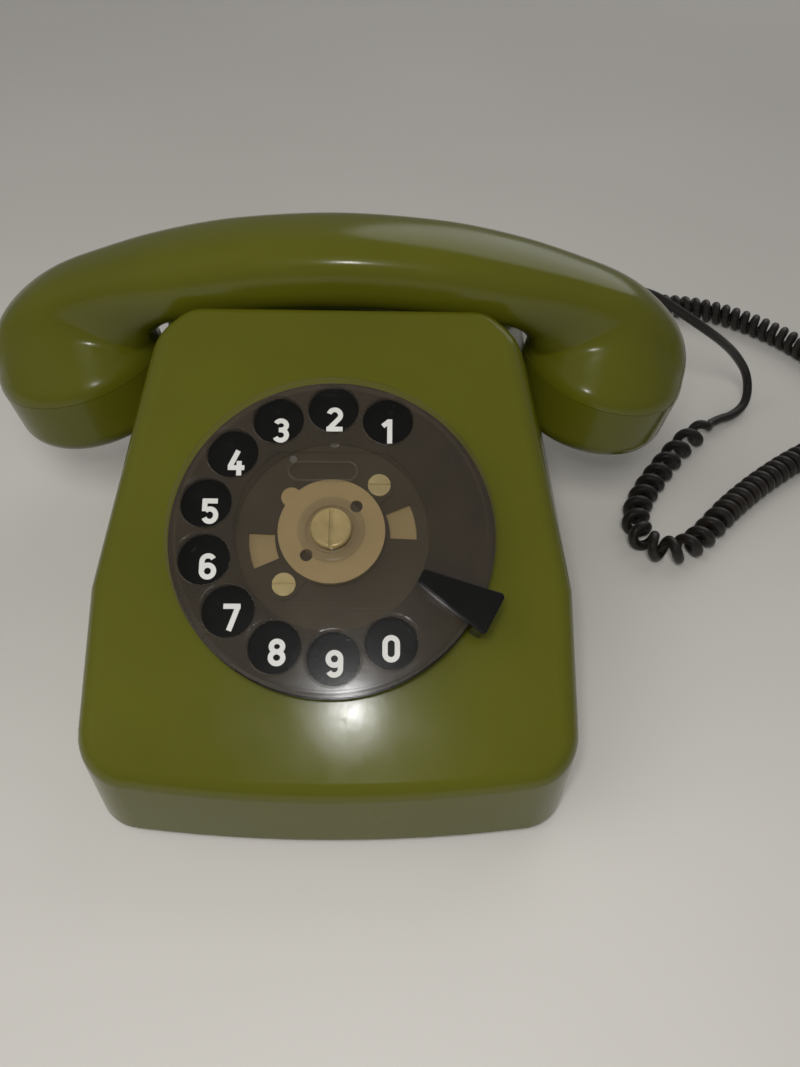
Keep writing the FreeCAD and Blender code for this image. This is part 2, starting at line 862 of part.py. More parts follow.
def ringer_frame():
    plate = block(-coil_x - coil_radius, coil_x + coil_radius, coil_y - 8.0, clapper_pivot_y + 4.0, base_top, frame_top)
    pin = rod(screw_radius, frame_top, clapper_height + 8.0, 0.0, clapper_pivot_y)
    shoulder = rod(screw_radius + 1.5, frame_top, clapper_height - 3.0 - rest_gap, 0.0, clapper_pivot_y)
    return plate.fuse(pin).fuse(shoulder).removeSplitter()


def ringer_core(side):
    core = rod(core_radius, frame_top, pole_top - 2.0, side * coil_x, coil_y)
    pole_front = clapper_pivot_y - 2.0 - pole_gap
    pole = block(side * coil_x - 3.0, side * coil_x + 3.0, coil_y - 3.0, pole_front, pole_top - 2.0, pole_top)
    return core.fuse(pole).removeSplitter()


def ringer_coil(side):
    low = frame_top + 0.2
    high = low + coil_height
    inner = core_radius + seat_gap
    x = side * coil_x
    winding = tube(coil_radius - 0.8, inner, low, high, x, coil_y)
    for z in (low, high - 1.0):
        winding = winding.fuse(tube(coil_radius, inner, z, z + 1.0, x, coil_y))
    return winding.removeSplitter()


def armature():
    low = clapper_height - 3.0
    high = clapper_height + 7.0
    bar = block(-armature_half_length, armature_half_length, clapper_pivot_y - 2.0, clapper_pivot_y - 0.4, low, high)
    hub = rod(screw_radius + 1.5, low, high, 0.0, clapper_pivot_y)
    return bar.fuse(hub).cut(rod(screw_radius + running_gap, low, high, 0.0, clapper_pivot_y)).removeSplitter()


def clapper():
    start = Vector(0, clapper_pivot_y + screw_radius + 1.5, clapper_height)
    ball = Vector(0, clapper_pivot_y + clapper_reach, clapper_height)
    arm = Part.makeCylinder(0.8, ball.y - start.y, start, Vector(0, 1, 0))
    return arm.fuse(Part.makeSphere(clapper_ball_radius, ball))


def volume_knob():
    hub = rod(knob_hole_radius() - running_gap, base_bottom + 0.3, base_top + 0.1)
    hub = hub.cut(block(-0.7, 0.7, -9.0, 9.0, base_bottom, base_bottom + 1.3))
    disc = rod(knob_radius, base_top + 0.1, base_top + 2.4)
    arm = block(0.0, knob_arm_length, -2.0, 2.0, base_top + 0.5, base_top + 2.4)
    pad = rod(2.0, base_top + 0.5, gong_top - gong_height + 3.0, knob_arm_length, 0.0)
    knob = hub.fuse(disc).fuse(arm).fuse(pad).removeSplitter()
    knob.rotate(Vector(0, 0, 0), Vector(0, 0, 1), knob_arm_angle)
    knob.translate(Vector(knob_x, knob_y, 0))
    return knob


# Hook switch
def cradle_plunger(side):
    top = handle_underside(saddle_x + plunger_radius) - rest_gap
    pin = rod(plunger_radius, hook_bar_height + hook_bar_thickness, top, side * saddle_x, handset_y)
    rim = [e for e in pin.Edges if abs(e.CenterOfMass.z - top) < 0.01]
    return pin.makeFillet(1.2, rim)


def hook_bar():
    high = hook_bar_height + hook_bar_thickness
    bar = block(-saddle_x - 5.0, saddle_x + 5.0, handset_y - 4.5, handset_y + 4.5, hook_bar_height, high)
    upright = [e for e in bar.Edges if abs(e.tangentAt(e.FirstParameter).z) > 0.9]
    bar = bar.makeFillet(3.0, upright)
    return bar.cut(rod(hook_pin_radius() + 0.5, hook_bar_height, high, 0.0, handset_y))


def hook_pin_radius():
    return hook_coil_radius - hook_wire - 0.8


def hook_bracket():
    low = hook_post_height - hook_beam_thickness
    near = handset_y - hook_beam_offset
    far = near + hook_beam_depth
    leg_x = gong_x + gong_radius + hook_leg_gap
    reach = leg_x + hook_leg_width
    bridge = block(-reach, reach, near, far, low, hook_post_height)
    seat = hook_coil_radius + 2 * hook_wire
    bridge = bridge.fuse(block(-seat, seat, near, handset_y + seat, low, hook_post_height))
    bridge = bridge.fuse(rod(hook_pin_radius(), hook_post_height, hook_bar_height + 8.0, 0.0, handset_y))
    for x in (-reach, leg_x):
        bridge = bridge.fuse(block(x, x + hook_leg_width, near, far, base_top, hook_post_height))
    return bridge.removeSplitter()


def hook_contacts():
    low = hook_post_height
    near = handset_y - hook_beam_offset
    insulator = block(10.0, 20.0, near, near + hook_beam_depth, low, low + 6.0)
    stack = insulator
    for offset in (1.0, 3.0):
        leaf = block(14.0, 32.0, near + 1.0, near + 4.0, low + offset, low + offset + 0.4)
        stack = stack.fuse(leaf)
    return stack.removeSplitter()


# Speech circuit
board_top = board_height + board_thickness


def board_post_places():
    return [
        (side * (board_half_width - 5.0), y)
        for side in (-1, 1)
        for y in (board_front_y + 5.0, board_back_y - 5.0)
    ]


def circuit_board():
    board = block(-board_half_width, board_half_width, board_front_y, board_back_y, board_height, board_top)
    for x, y in board_post_places():
        board = board.cut(rod(screw_radius + hole_gap, board_height, board_top, x, y))
    return board


def board_post(x, y):
    post = rod(board_post_radius, base_top, board_height, x, y)
    return post.fuse(rod(screw_radius, board_height, board_top + 1.0, x, y))


def induction_coil():
    near = board_back_y - 28.0
    far = board_back_y - 12.0
    core = block(-34.0, -12.0, near, far, board_top, board_top + 10.0)
    core = core.cut(block(-30.0, -16.0, near - 2.0, far + 2.0, board_top + 3.0, board_top + 7.0))
    winding = block(-29.8, -16.2, near - 2.0, far + 2.0, board_top + 3.2, board_top + 6.8)
    return core, winding


def capacitor():
    radius = 5.0
    body = Part.makeCylinder(radius, 30.0, Vector(4.0, board_front_y + 9.0, board_top + radius), Vector(1, 0, 0))
    return body.makeFillet(0.8, body.Edges)


def terminal_block():
    middle = board_back_y - 15.0
    strip = block(4.0, 36.0, middle - 5.0, middle + 5.0, board_top, board_top + 7.0)
    for index in range(4):
        strip = strip.cut(rod(2.2, board_top + 4.0, board_top + 8.0, 8.0 + 8.0 * index, middle))
    return strip


# Handset: stations swung about the inside of each bend, with a squarer section in the grip
def oval(place, low, high, half_depth, squareness):
    middle = (low + high) / 2
    half = (high - low) / 2
    corners = [(1, 0), (0, 1), (-1, 0), (0, -1)]
    edges = []
    for i in range(4):
        a0, b0 = corners[i]
        a1, b1 = corners[(i + 1) % 4]
        poles = [(a0, b0), (a0 + squareness * a1, b0 + squareness * b1)]
        poles += [(a1 + squareness * a0, b1 + squareness * b0), (a1, b1)]
        curve = Part.BezierCurve()
        curve.setPoles([place(middle + half * a, handset_y + half_depth * b) for a, b in poles])
        edges.append(curve.toShape())
    return Part.Wire(edges)


def bend_station(side, angle, reach, half_depth, squareness):
    swing = math.radians(angle)

    def place(radius, y):
        return Vector(side * (bend_x + radius * math.sin(swing)), y, bend_z + radius * math.cos(swing))

    return oval(place, bend_radius, bend_radius + reach, half_depth, squareness)


def handle_sections():
    grip = handle_thickness
    round_share = 0.5523
    bend = [
        (0.0, grip, handle_half_depth, handle_squareness),
        (0.22, grip - 0.6, handle_half_depth + 0.6, handle_squareness),
        (0.45, grip + 3.8, handle_half_depth + 4.0, 0.67),
        (0.65, grip + 13.3, cup_radius - 3.3, 0.62),
        (0.82, 2 * cup_radius - 5.5, cup_radius - 0.7, 0.57),
        (1.0, 2 * cup_radius, cup_radius, round_share),
    ]

    def half(side):
        return [bend_station(side, share * cup_angle, reach, deep, square) for share, reach, deep, square in bend]

    middle = []
    for x in (-handle_station, 0.0, handle_station):
        fall = x * x / (2 * handle_arch_radius)
        middle.append(
            oval(
                lambda z, y, x=x: Vector(x, y, z),
                handle_bottom - fall,
                handle_top - fall,
                handle_half_depth,
                handle_squareness,
            )
        )
    return list(reversed(half(-1))) + middle + half(1)


# Moves a shape made about the Z axis onto a cup: +Z becomes the way out of the cap
def on_cup(shape, side):
    placed = shape.copy()
    tilt = Rotation(Vector(0, 1, 0), 180.0 + side * math.degrees(cup_tilt))
    placed.Placement = Placement(Vector(side * cup_x, handset_y, cup_z), tilt).multiply(placed.Placement)
    return placed


def gland_ends():
    across, back = polar(1.0, handset_gland_angle)
    axis = Vector(across, back, 0)
    middle = Vector(cup_x, handset_y, cup_z + handset_gland_rise)
    return middle + axis * (cup_radius - 3.0), middle + axis * (cup_radius + handset_gland_reach), axis


def handset_shell():
    shell = Part.makeLoft(handle_sections(), True, False)
    for side in (-1, 1):
        spigot = rod(thread_radius, -1.0, thread_length)
        shell = shell.fuse(on_cup(spigot, side))
        pocket = rod(capsule_radius + seat_gap, -capsule_depth, thread_length + 1.0)
        shell = shell.cut(on_cup(pocket, side))
    root, end, axis = gland_ends()
    socket = Part.makeCylinder(gland_radius + seat_gap, 30.0, root, axis)
    return shell.cut(socket)


def handset_gland():
    root, end, axis = gland_ends()
    start = root + axis * seat_gap
    mouth = end + axis * (seat_gap - handset_gland_reach + gland_flare)
    sleeve = Part.makeCylinder(gland_radius, (mouth - start).Length, start, axis)
    return sleeve.fuse(relief(mouth, axis, handset_gland_reach - gland_flare)).removeSplitter()


# Tapered strain relief that the cord runs out of
def relief(start, axis, length):
    return Part.makeCone(gland_radius + gland_flare, wire_radius + gland_lip, length, start, axis)


def screw_cap(holes):
    inner = thread_radius + cap_gap
    floor = cap_height - cap_wall
    shoulder = cup_radius - cap_edge_radius
    profile = [
        Vector(inner, 0, cap_gap),
        Vector(cup_radius, 0, cap_gap),
        Vector(cup_radius - 0.3, 0, cap_height - cap_edge_radius),
        Vector(shoulder, 0, cap_height - 0.6),
        Vector(0, 0, cap_height),
        Vector(0, 0, floor),
        Vector(inner - 3.0, 0, floor - 0.6),
        Vector(inner, 0, floor - 3.6),
    ]
    bend = 1 - math.sqrt(0.5)
    middle = Vector(
        cup_radius - 0.3 - bend * cap_edge_radius, 0, cap_height - 0.6 - bend * (cap_edge_radius - 0.6)
    )
    edges = []
    for i in range(len(profile)):
        start = profile[i]
        end = profile[(i + 1) % len(profile)]
        if i == 2:
            edges.append(Part.Arc(start, middle, end).toShape())
        else:
            edges.append(Part.makeLine(start, end))
    cap = Part.Face(Part.Wire(edges)).revolve(Vector(0, 0, 0), Vector(0, 0, 1), 360)
    for x, y in holes:
        cap = cap.cut(rod(sound_hole_radius, floor - 2.0, cap_height + 1.0, x, y))
    return cap


def ear_holes():
    return [(0.0, 0.0)] + [polar(5.0, 60.0 * i) for i in range(6)] + [polar(10.0, 30.0 * i) for i in range(12)]


def mouth_holes():
    return [polar(4.0, 120.0 * i + 30.0) for i in range(3)] + [polar(9.0, 40.0 * i) for i in range(9)]


def capsule(dome):
    low = -capsule_depth + 0.2
    rim = thread_length - 0.4
    can = rod(capsule_radius, low, rim)
    front = rod(capsule_radius - 2.5, rim, rim + dome)
    back = rod(8.0, low, low + 0.1)
    return can.fuse(front).fuse(back).removeSplitter()


# Tubes on a route
def bend_edge(start, knee, end):
    middle = (start + end) * 0.5
    half_chord = (end - start).Length / 2
    rise = (knee - middle).Length
    if rise < 0.0001 * half_chord:
        return Part.makeLine(start, end)
    angle = math.atan2(rise, half_chord)
    crown = middle + (knee - middle) * (half_chord * math.tan(angle / 2) / rise)
    return Part.Arc(start, crown, end).toShape()


def biarc(start, start_way, end, end_way):
    span = end - start
    a = 2 * (1 - start_way.dot(end_way))
    b = 2 * span.dot(start_way + end_way)
    c = -span.dot(span)
    if abs(a) < 1e-9:
        reach = -c / b
    else:
        reach = (math.sqrt(b * b - 4 * a * c) - b) / (2 * a)
    knee_a = start + start_way * reach
    knee_b = end - end_way * reach
    joint = (knee_a + knee_b) * 0.5
    return [bend_edge(start, knee_a, joint), bend_edge(joint, knee_b, end)]


def tube_along(edges, radius, way):
    wire = Part.Wire(edges)
    ring = Part.Wire([Part.makeCircle(radius, wire.OrderedVertexes[0].Point, way)])
    shell = Part.BRepOffsetAPI.MakePipeShell(wire)
    shell.add(ring)
    shell.build()
    shell.makeSolid()
    return shell.shape()


def tightest(edges):
    radii = [e.Curve.Radius for e in edges if isinstance(e.Curve, Part.Circle)]
    return min(radii)


def coil_spring(wire, radius, turns, z0, z1, x, y):
    low = z0 + wire + 0.05
    rise = z1 - wire - 0.05 - low
    steps = turns * 2

    def point(k):
        angle = math.pi * k
        return Vector(x + radius * math.cos(angle), y + radius * math.sin(angle), low + rise * k / steps)

    def way(k):
        angle = math.pi * k
        tangent = Vector(-radius * math.sin(angle), radius * math.cos(angle), rise / steps / math.pi)
        return tangent.normalize()

    edges = []
    for k in range(steps):
        edges += biarc(point(k), way(k), point(k + 1), way(k + 1))
    return tube_along(edges, wire, way(0))


# Curly cord: from the body gland behind, round on the table, to the handset gland
coil_lift = curl_radius + wire_radius + floor_gap
wire_lift = wire_radius + floor_gap
gland_root, gland_end, gland_axis = gland_ends()
gland_run = gland_end + gland_axis * 10.0
route = [
    (body_gland_x, rear_y + body_gland_reach + seat_gap, body_gland_z),
    (body_gland_x, rear_y + body_gland_reach + 9.5, body_gland_z - 0.6),
    (41.5, 121.0, 10.0),
    (52.0, 136.0, 6.5),
    (71.0, 150.0, coil_lift),
    (98.0, 163.0, coil_lift),
    (129.0, 171.0, coil_lift),
    (159.0, 170.5, coil_lift),
    (183.0, 158.0, coil_lift),
    (202.0, 138.0, coil_lift),
    (212.5, 113.0, coil_lift),
    (209.5, 88.5, coil_lift),
    (195.0, 72.0, coil_lift),
    (176.0, 61.5, coil_lift),
    (157.0, 47.5, coil_lift),
    (140.0, 32.5, coil_lift),
    (126.5, 17.5, coil_lift),
    (116.0, 10.5, coil_lift),
    (106.0, 14.5, coil_lift),
    (103.8, 25.0, coil_lift),
    (108.0, 36.5, coil_lift),
    (120.0, 54.0, coil_lift),
    (134.5, 72.0, coil_lift),
    (149.0, 85.0, coil_lift - 0.8),
    (159.5, 91.0, wire_lift + 0.6),
    (167.0, 99.0, 4.5),
    (166.5, 107.5, 14.0),
    (157.0, 104.5, 27.0),
    (146.0, 99.0, 38.0),
    (134.5, 95.5, 47.5),
    (122.5, 93.5, 55.5),
    (110.5, 91.0, 61.0),
    (gland_run.x, gland_run.y, gland_run.z),
    (gland_end.x + seat_gap * gland_axis.x, gland_end.y + seat_gap * gland_axis.y, gland_end.z),
]
coil_start_index = 4
coil_end_index = 23
bend_start_index = 15
bend_end_index = 20


# The route with its corners rounded, sampled every quarter millimetre, and its radii
def rounded_route(points):
    corners = [Vector(*p) for p in points]
    samples = []
    radii = []
    last = corners[0]
    for i in range(1, len(corners) - 1):
        back = corners[i - 1] - corners[i]
        ahead = corners[i + 1] - corners[i]
        reach = 0.45 * min(back.Length, ahead.Length)
        back.normalize()
        ahead.normalize()
        turn = math.pi - back.getAngle(ahead)
        radius = reach / math.tan(turn / 2)
        radii.append(radius)
        start = corners[i] + back * reach
        inward = (back + ahead).normalize()
        centre = corners[i] + inward * (radius / math.cos(turn / 2))
        samples += straight_samples(last, start)
        out = (start - centre).normalize()
        along = (back * -1.0)
        steps = max(2, int(radius * turn / 0.25))
        for k in range(steps):
            angle = turn * k / steps
            samples.append(centre + out * (radius * math.cos(angle)) + along * (radius * math.sin(angle)))
        last = corners[i] + ahead * reach
    samples += straight_samples(last, corners[-1])
    samples.append(corners[-1])
    return samples, radii


def straight_samples(start, end):
    run = end - start
    steps = max(1, int(run.Length / 0.25))
    return [start + run * (k / steps) for k in range(steps)]


def lengths_along(points):
    total = [0.0]
    for i in range(1, len(points)):
        total.append(total[-1] + (points[i] - points[i - 1]).Length)
    return total


def ways_along(points):
    ways = []
    last = len(points) - 1
    for i in range(len(points)):
        ways.append((points[min(i + 1, last)] - points[max(i - 1, 0)]).normalize())
    return ways


def ease(share):
    share = max(0.0, min(1.0, share))
    return share * share * (3 - 2 * share)


def blend(low, high, share):
    return low + (high - low) * ease(share)


# Wire centre line: straight leads, and curls whose pitch opens towards the handset
def curly_line():
    line, radii = rounded_route(route)
    print("cord route radii", [round(r, 1) for r in radii])
    along = lengths_along(line)

    def station(index):
        corner = Vector(*route[index])
        nearest = min(range(len(line)), key=lambda k: (line[k] - corner).Length)
        return along[nearest]

    first, last = station(coil_start_index), station(coil_end_index)
    turn_first, turn_last = station(bend_start_index), station(bend_end_index)

    def pitch(s):
        if s < turn_first:
            return blend(start_pitch, tight_pitch, (s - first) / 30.0)
        if s < turn_last:
            return blend(tight_pitch, bend_pitch, (s - turn_first) / 10.0)
        return blend(bend_pitch, open_pitch, (s - turn_last) / (last - turn_last))

    turns = [0.0]
    for i in range(1, len(line)):
        inside = first <= along[i] <= last
        turns.append(turns[-1] + ((along[i] - along[i - 1]) / pitch(along[i]) if inside else 0.0))
    halves = math.floor(turns[-1] * 2)
    stretch = halves / 2 / turns[-1]
    ways = ways_along(line)
    normal = Vector(0, 0, 1)
    wound = []
    knots = []
    for i in range(len(line)):
        normal = (normal - ways[i] * normal.dot(ways[i])).normalize()
        angle = 2 * math.pi * turns[i] * stretch
        reach = curl_radius * ease((along[i] - first) / 16.0) * ease((last - along[i]) / 16.0)
        side = ways[i].cross(normal)
        wound.append(line[i] + normal * (reach * math.cos(angle)) + side * (reach * math.sin(angle)))
        if first <= along[i] <= last and turns[i] * stretch * 2 >= len(knots) - 1e-9:
            knots.append(i)
    print("cord curls", halves / 2)
    return wound, knots


def least_gap(points, skip):
    picked = points[::2]
    along = lengths_along(picked)
    cell = 6.0
    cells = {}
    for i, p in enumerate(picked):
        cells.setdefault((int(p.x // cell), int(p.y // cell), int(p.z // cell)), []).append(i)
    near = [(a, b, c) for a in (-1, 0, 1) for b in (-1, 0, 1) for c in (-1, 0, 1)]
    least = cell
    for i, p in enumerate(picked):
        home = (int(p.x // cell), int(p.y // cell), int(p.z // cell))
        for a, b, c in near:
            for j in cells.get((home[0] + a, home[1] + b, home[2] + c), ()):
                if along[j] - along[i] > skip:
                    least = min(least, (picked[j] - p).Length)
    return least


def handset_cord():
    points, knots = curly_line()
    ways = ways_along(points)
    along = lengths_along(points)

    def lead(first, last):
        steps = max(1, int((along[last] - along[first]) / 8.0))
        return [first + round((last - first) * k / steps) for k in range(steps + 1)]

    stops = lead(0, knots[0]) + knots[1:] + lead(knots[-1], len(points) - 1)[1:]
    edges = []
    for a, b in zip(stops, stops[1:]):
        edges += biarc(points[a], ways[a], points[b], ways[b])
    print("cord wire length", round(along[-1]), "tightest wire bend", round(tightest(edges), 2))
    print("cord least gap to itself", round(least_gap(points, 9.0) - 2 * wire_radius, 2))
    cord = tube_along(edges, wire_radius, ways[0])
    print("cord volume against section times length", round(cord.Volume / (math.pi * wire_radius**2 * along[-1]), 3))
    return cord


def rear_gland(x, reach, bore):
    start = Vector(x, rear_y - housing_wall - 2.0, body_gland_z)
    back = Vector(0, 1, 0)
    sleeve = Part.makeCylinder(gland_radius, housing_wall + 2.0 + seat_gap, start, back)
    gland = sleeve.fuse(Part.makeCylinder(gland_radius + 2.0, 1.9, start, back))
    if reach:
        gland = gland.fuse(relief(Vector(x, rear_y + seat_gap, body_gland_z), back, reach))
    if bore:
        gland = gland.cut(Part.makeCylinder(bore, 20.0, start - back, back))
    return gland.removeSplitter()


def build():
    write("housing", housing())
    write("base_plate", base_plate())
    write("rubber_feet", group([rubber_foot(x, y) for x, y in foot_places()]))
    write("housing_screws", group([housing_screw(x, y) for x, y in boss_places()]))
    write("dial_frame", on_dial(dial_frame()))
    write("dial_clamp_ring", on_dial(clamp_ring()))
    write("dial_plate", on_dial(dial_plate()))
    write("dial_rear_plate", on_dial(rear_plate()))
    write("bearing_bush", on_dial(bearing_bush()))
    write("dial_plate_screws", on_dial(group([plate_screw(x, y) for x, y in plate_screw_places()])))
    write("number_ring", on_dial(number_ring()))
    write("finger_stop", on_dial(finger_stop()))
    write("finger_wheel", on_dial(finger_wheel()))
    write("drive_hub", on_dial(drive_hub()))
    write("wheel_screw", on_dial(wheel_screw()))
    write("dial_shaft", on_dial(dial_shaft()))
    write("main_gear", on_dial(main_gear()))
    write("pulse_shaft", on_dial(gear_shaft(pulse_place(), pulse_shaft_radius)))
    write("pulse_pinion", on_dial(pulse_pinion()))
    write("pulse_cam", on_dial(pulse_cam()))
    write("governor_gear", on_dial(governor_gear()))
    write("governor_shaft", on_dial(gear_shaft(governor_place(), governor_shaft_radius)))
    write("governor_pinion", on_dial(governor_pinion()))
    write("governor_weights", on_dial(governor_weights()))
    write("governor_drum", on_dial(governor_drum()))
    write("pulse_contacts", on_dial(pulse_contacts()))
    spring_top = gear_bottom - main_boss_height - rest_gap
    spring = coil_spring(return_wire, return_coil_radius, return_turns, rear_plate_top, spring_top, 0.0, 0.0)
    write("return_spring", on_dial(spring))
    write("gong_left", gong(-1))
    write("gong_right", gong(1))
    write("gong_posts", group([gong_post(side) for side in (-1, 1)]))
    write("gong_screws", group([gong_screw(side) for side in (-1, 1)]))
    write("ringer_frame", ringer_frame())
    write("ringer_cores", group([ringer_core(side) for side in (-1, 1)]))
    write("ringer_coils", group([ringer_coil(side) for side in (-1, 1)]))
    write("armature", armature())
    write("clapper", clapper())
    write("volume_knob", volume_knob())
    write("cradle_plungers", group([cradle_plunger(side) for side in (-1, 1)]))
    write("hook_bar", hook_bar())
    write("hook_bracket", hook_bracket())
    write("hook_contacts", hook_contacts())
    spring = coil_spring(hook_wire, hook_coil_radius, hook_turns, hook_post_height, hook_bar_height, 0.0, handset_y)
    write("hook_spring", spring)
    write("circuit_board", circuit_board())
    write("board_posts", group([board_post(x, y) for x, y in board_post_places()]))
    core, winding = induction_coil()
    write("induction_core", core)
    write("induction_winding", winding)
    write("capacitor", capacitor())
    write("terminal_block", terminal_block())
    write("handset_shell", handset_shell())
    write("ear_cap", on_cup(screw_cap(ear_holes()), -1))
    write("mouth_cap", on_cup(screw_cap(mouth_holes()), 1))
    write("receiver_capsule", on_cup(capsule(3.0), -1))
    write("transmitter_capsule", on_cup(capsule(2.0), 1))
    write("handset_gland", handset_gland())
    write("body_gland", rear_gland(body_gland_x, body_gland_reach, 0.0))
    write("line_inlet", rear_gland(line_inlet_x, 0.0, wire_radius + 0.2))
    write("handset_cord", handset_cord())


build()
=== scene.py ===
import json
import math

import bmesh
import bpy
import numpy as np
from mathutils import Matrix, Vector


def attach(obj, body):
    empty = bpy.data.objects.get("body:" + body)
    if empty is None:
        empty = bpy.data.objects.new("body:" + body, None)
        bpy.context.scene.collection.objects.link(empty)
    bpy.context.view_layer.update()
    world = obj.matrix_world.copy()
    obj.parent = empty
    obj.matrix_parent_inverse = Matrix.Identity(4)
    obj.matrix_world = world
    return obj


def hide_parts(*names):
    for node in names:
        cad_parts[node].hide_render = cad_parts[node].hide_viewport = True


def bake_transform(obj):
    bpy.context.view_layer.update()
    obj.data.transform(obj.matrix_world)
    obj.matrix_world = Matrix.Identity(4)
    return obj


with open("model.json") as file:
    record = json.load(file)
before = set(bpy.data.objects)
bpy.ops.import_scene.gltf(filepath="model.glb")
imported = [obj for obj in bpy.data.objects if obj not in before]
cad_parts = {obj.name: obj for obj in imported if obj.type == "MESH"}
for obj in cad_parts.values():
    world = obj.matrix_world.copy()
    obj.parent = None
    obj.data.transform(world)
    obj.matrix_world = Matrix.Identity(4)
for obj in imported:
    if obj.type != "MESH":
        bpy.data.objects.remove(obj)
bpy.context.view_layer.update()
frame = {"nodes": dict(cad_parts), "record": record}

nodes = frame["nodes"]

# Rotary telephone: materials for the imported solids, and the pieces that have a finer form than theirs.
# Lengths are in millimetres and angles in degrees, unless a comment says otherwise.
MM = 0.001

# Photograph's camera, with its focal length in pixels of the 800 by 1067 frame
CAMERA_PLACE = (12.79, -189.75, 225.48)
CAMERA_DEPRESSION = 46.58
CAMERA_YAW = 1.786
CAMERA_ROLL = -1.806
CAMERA_NEAR = 10.0
FOCAL_PIXELS = 856.7
IMAGE_HEIGHT = 1067
SENSOR = 36.0

# Plastics: scales are patterns per metre, places are where a pattern's dark and light tones end
TONE_SCALE = 22.0
TONE_PLACES = (0.3, 0.72)
SMEAR_SCALE = 60.0
SMEAR_PLACES = (0.35, 0.7)
SMEAR_SHARES = (0.8, 1.3)
SKIN_SCALE = 900.0
SKIN_DEPTH = 0.2
SCUFF_SCALE = 260.0
SCUFF_SHARE = 0.55
PLASTIC_IOR = 1.5

# Hairline scratches: turn in radians, stretch along each axis, width as a share of a cell
SCRATCH_TURN = (0.3, 0.2, 0.9)
SCRATCH_STRETCH = (1.0, 0.05, 0.3)
SCRATCH_WIDTH = 0.012
SCRATCH_PATCH_SCALE = 35.0

# Metals
METAL_TONE_SCALE = 180.0
METAL_TONE_PLACES = (0.3, 0.7)
METAL_DARK_SHARE = 0.72
WEAR_SCALE = 420.0
WEAR_PLACES = (0.3, 0.75)
WEAR_SHARES = (0.7, 1.4)
GRAIN_SCALE = 1500.0
GRAIN_STRENGTH = 0.05
GRAIN_DEPTH = 0.1

# Clear acrylic: its opacity grows from the face to the edge
HAZE = (0.145, 0.102, 0.052)
HAZE_SCALE = 70.0
HAZE_PLACES = (0.3, 0.75)
HAZE_SHARES = (0.75, 1.25)
GLOSS_SCALE = 90.0
GLOSS_PLACES = (0.35, 0.7)
GLOSS_ROUGHNESS = (0.10, 0.2)
CLEAR_SCUFF_SCALE = 420.0
CLEAR_SCUFF_SHARE = 0.6
CLEAR_SCUFF = 0.3
EDGE_BLEND = 0.3
EDGE_OPACITY = [(0.0, 0.11), (0.45, 0.13), (1.0, 0.6)]
CLEAR_IOR = 3.0
COAT_ROUGHNESS = 0.08
CLEAR_SKIN_SCALE = 420.0
CLEAR_SKIN_STRENGTH = 0.04

# Dial, measured along its panel and out of it
PANEL_SLOPE = 28.8
DIAL_CENTRE = (0.0, -34.43, 58.65)
DIGIT_RADIUS = 32.7
FIRST_DIGIT_ANGLE = 64.2
DIGIT_STEP = 26.0
DIGITS = "1234567890"
DIGIT_HEIGHT = 6.9
DIGIT_STROKE = 0.195
DIGIT_THICKNESS = 0.12
DIGIT_DROP = 0.65
STROKE_STEP = 0.01
ARC_STEP = 9.0
ARC_LEAST_STEPS = 8
NUMBER_RING_TOP = 5.2

# Raised rings on the finger wheel, as distances out of an outline and heights over the panel
BOSS_PROFILE = [
    (5.6, 11.05),
    (5.6, 11.45),
    (6.0, 11.75),
    (6.7, 11.75),
    (7.0, 11.45),
    (7.6, 11.45),
    (7.9, 11.7),
    (8.3, 11.65),
    (8.6, 11.05),
]
LABEL_PROFILE = [(2.2, 11.05), (2.25, 11.3), (2.45, 11.4), (2.7, 11.3), (2.8, 11.05)]
LABEL_PLACE = (-2.5, 15.4)
LABEL_REACH = 6.3
RING_SIDES = 96

# Housing: its sides lean in above the shoulder, and the trough wall leans back below its knee
BODY_HALF_WIDTH = 64.2
SIDE_SHOULDER = 48.0
SIDE_LEAN = 0.33
TROUGH_WALL_Y = 27.2
TROUGH_KNEE = 86.8
TROUGH_FLOOR = 66.0
TROUGH_LEAN = 4.0 / 20.8
PANEL_CORNER_RADIUS = 11.5
PANEL_CORNER_FADE = 16.0
PANEL_CORNER_EDGE = 1.3
CORNER_OUTSIDE = 1.0
CORNER_MARGIN = 2.0
CORNER_BEHIND = 5.0
CORNER_PASSES = 8
EDGE_SAMPLES = 8
WELD_DISTANCE = 0.002
SHARP_ANGLE = 35.0

# Handset shell: swing shares of each bend, with the section's reach, half depth and squareness
HANDSET_Y = 43.5
HANDLE_TOP = 108.0
HANDLE_BOTTOM = 84.5
HANDLE_ARCH_RADIUS = 228.0
HANDLE_STATION = 24.0
HANDLE_HALF_DEPTH = 15.0
HANDLE_SQUARENESS = 0.72
NECK_HALF_DEPTH = 12.6
NECK_SQUARENESS = 0.76
BEND_X = 47.0
BEND_RADIUS = 12.0
CUP_ANGLE = 100.0
CUP_RADIUS = 26.5
RIM_CHAMFER = 0.5
BEND_STATIONS = [
    (0.0, 23.5, HANDLE_HALF_DEPTH, HANDLE_SQUARENESS),
    (0.22, 22.9, 14.4, HANDLE_SQUARENESS),
    (0.45, 27.3, 13.2, 0.74),
    (0.60, 34.2, NECK_HALF_DEPTH, NECK_SQUARENESS),
    (0.73, 41.8, NECK_HALF_DEPTH, NECK_SQUARENESS),
    (0.84, 48.5, 13.0, 0.74),
    (0.93, 52.0, 16.5, 0.68),
    (1.0, 2 * CUP_RADIUS, 23.0, 0.58),
]
QUARTER_POINTS = 30
SHELL_RINGS = 300

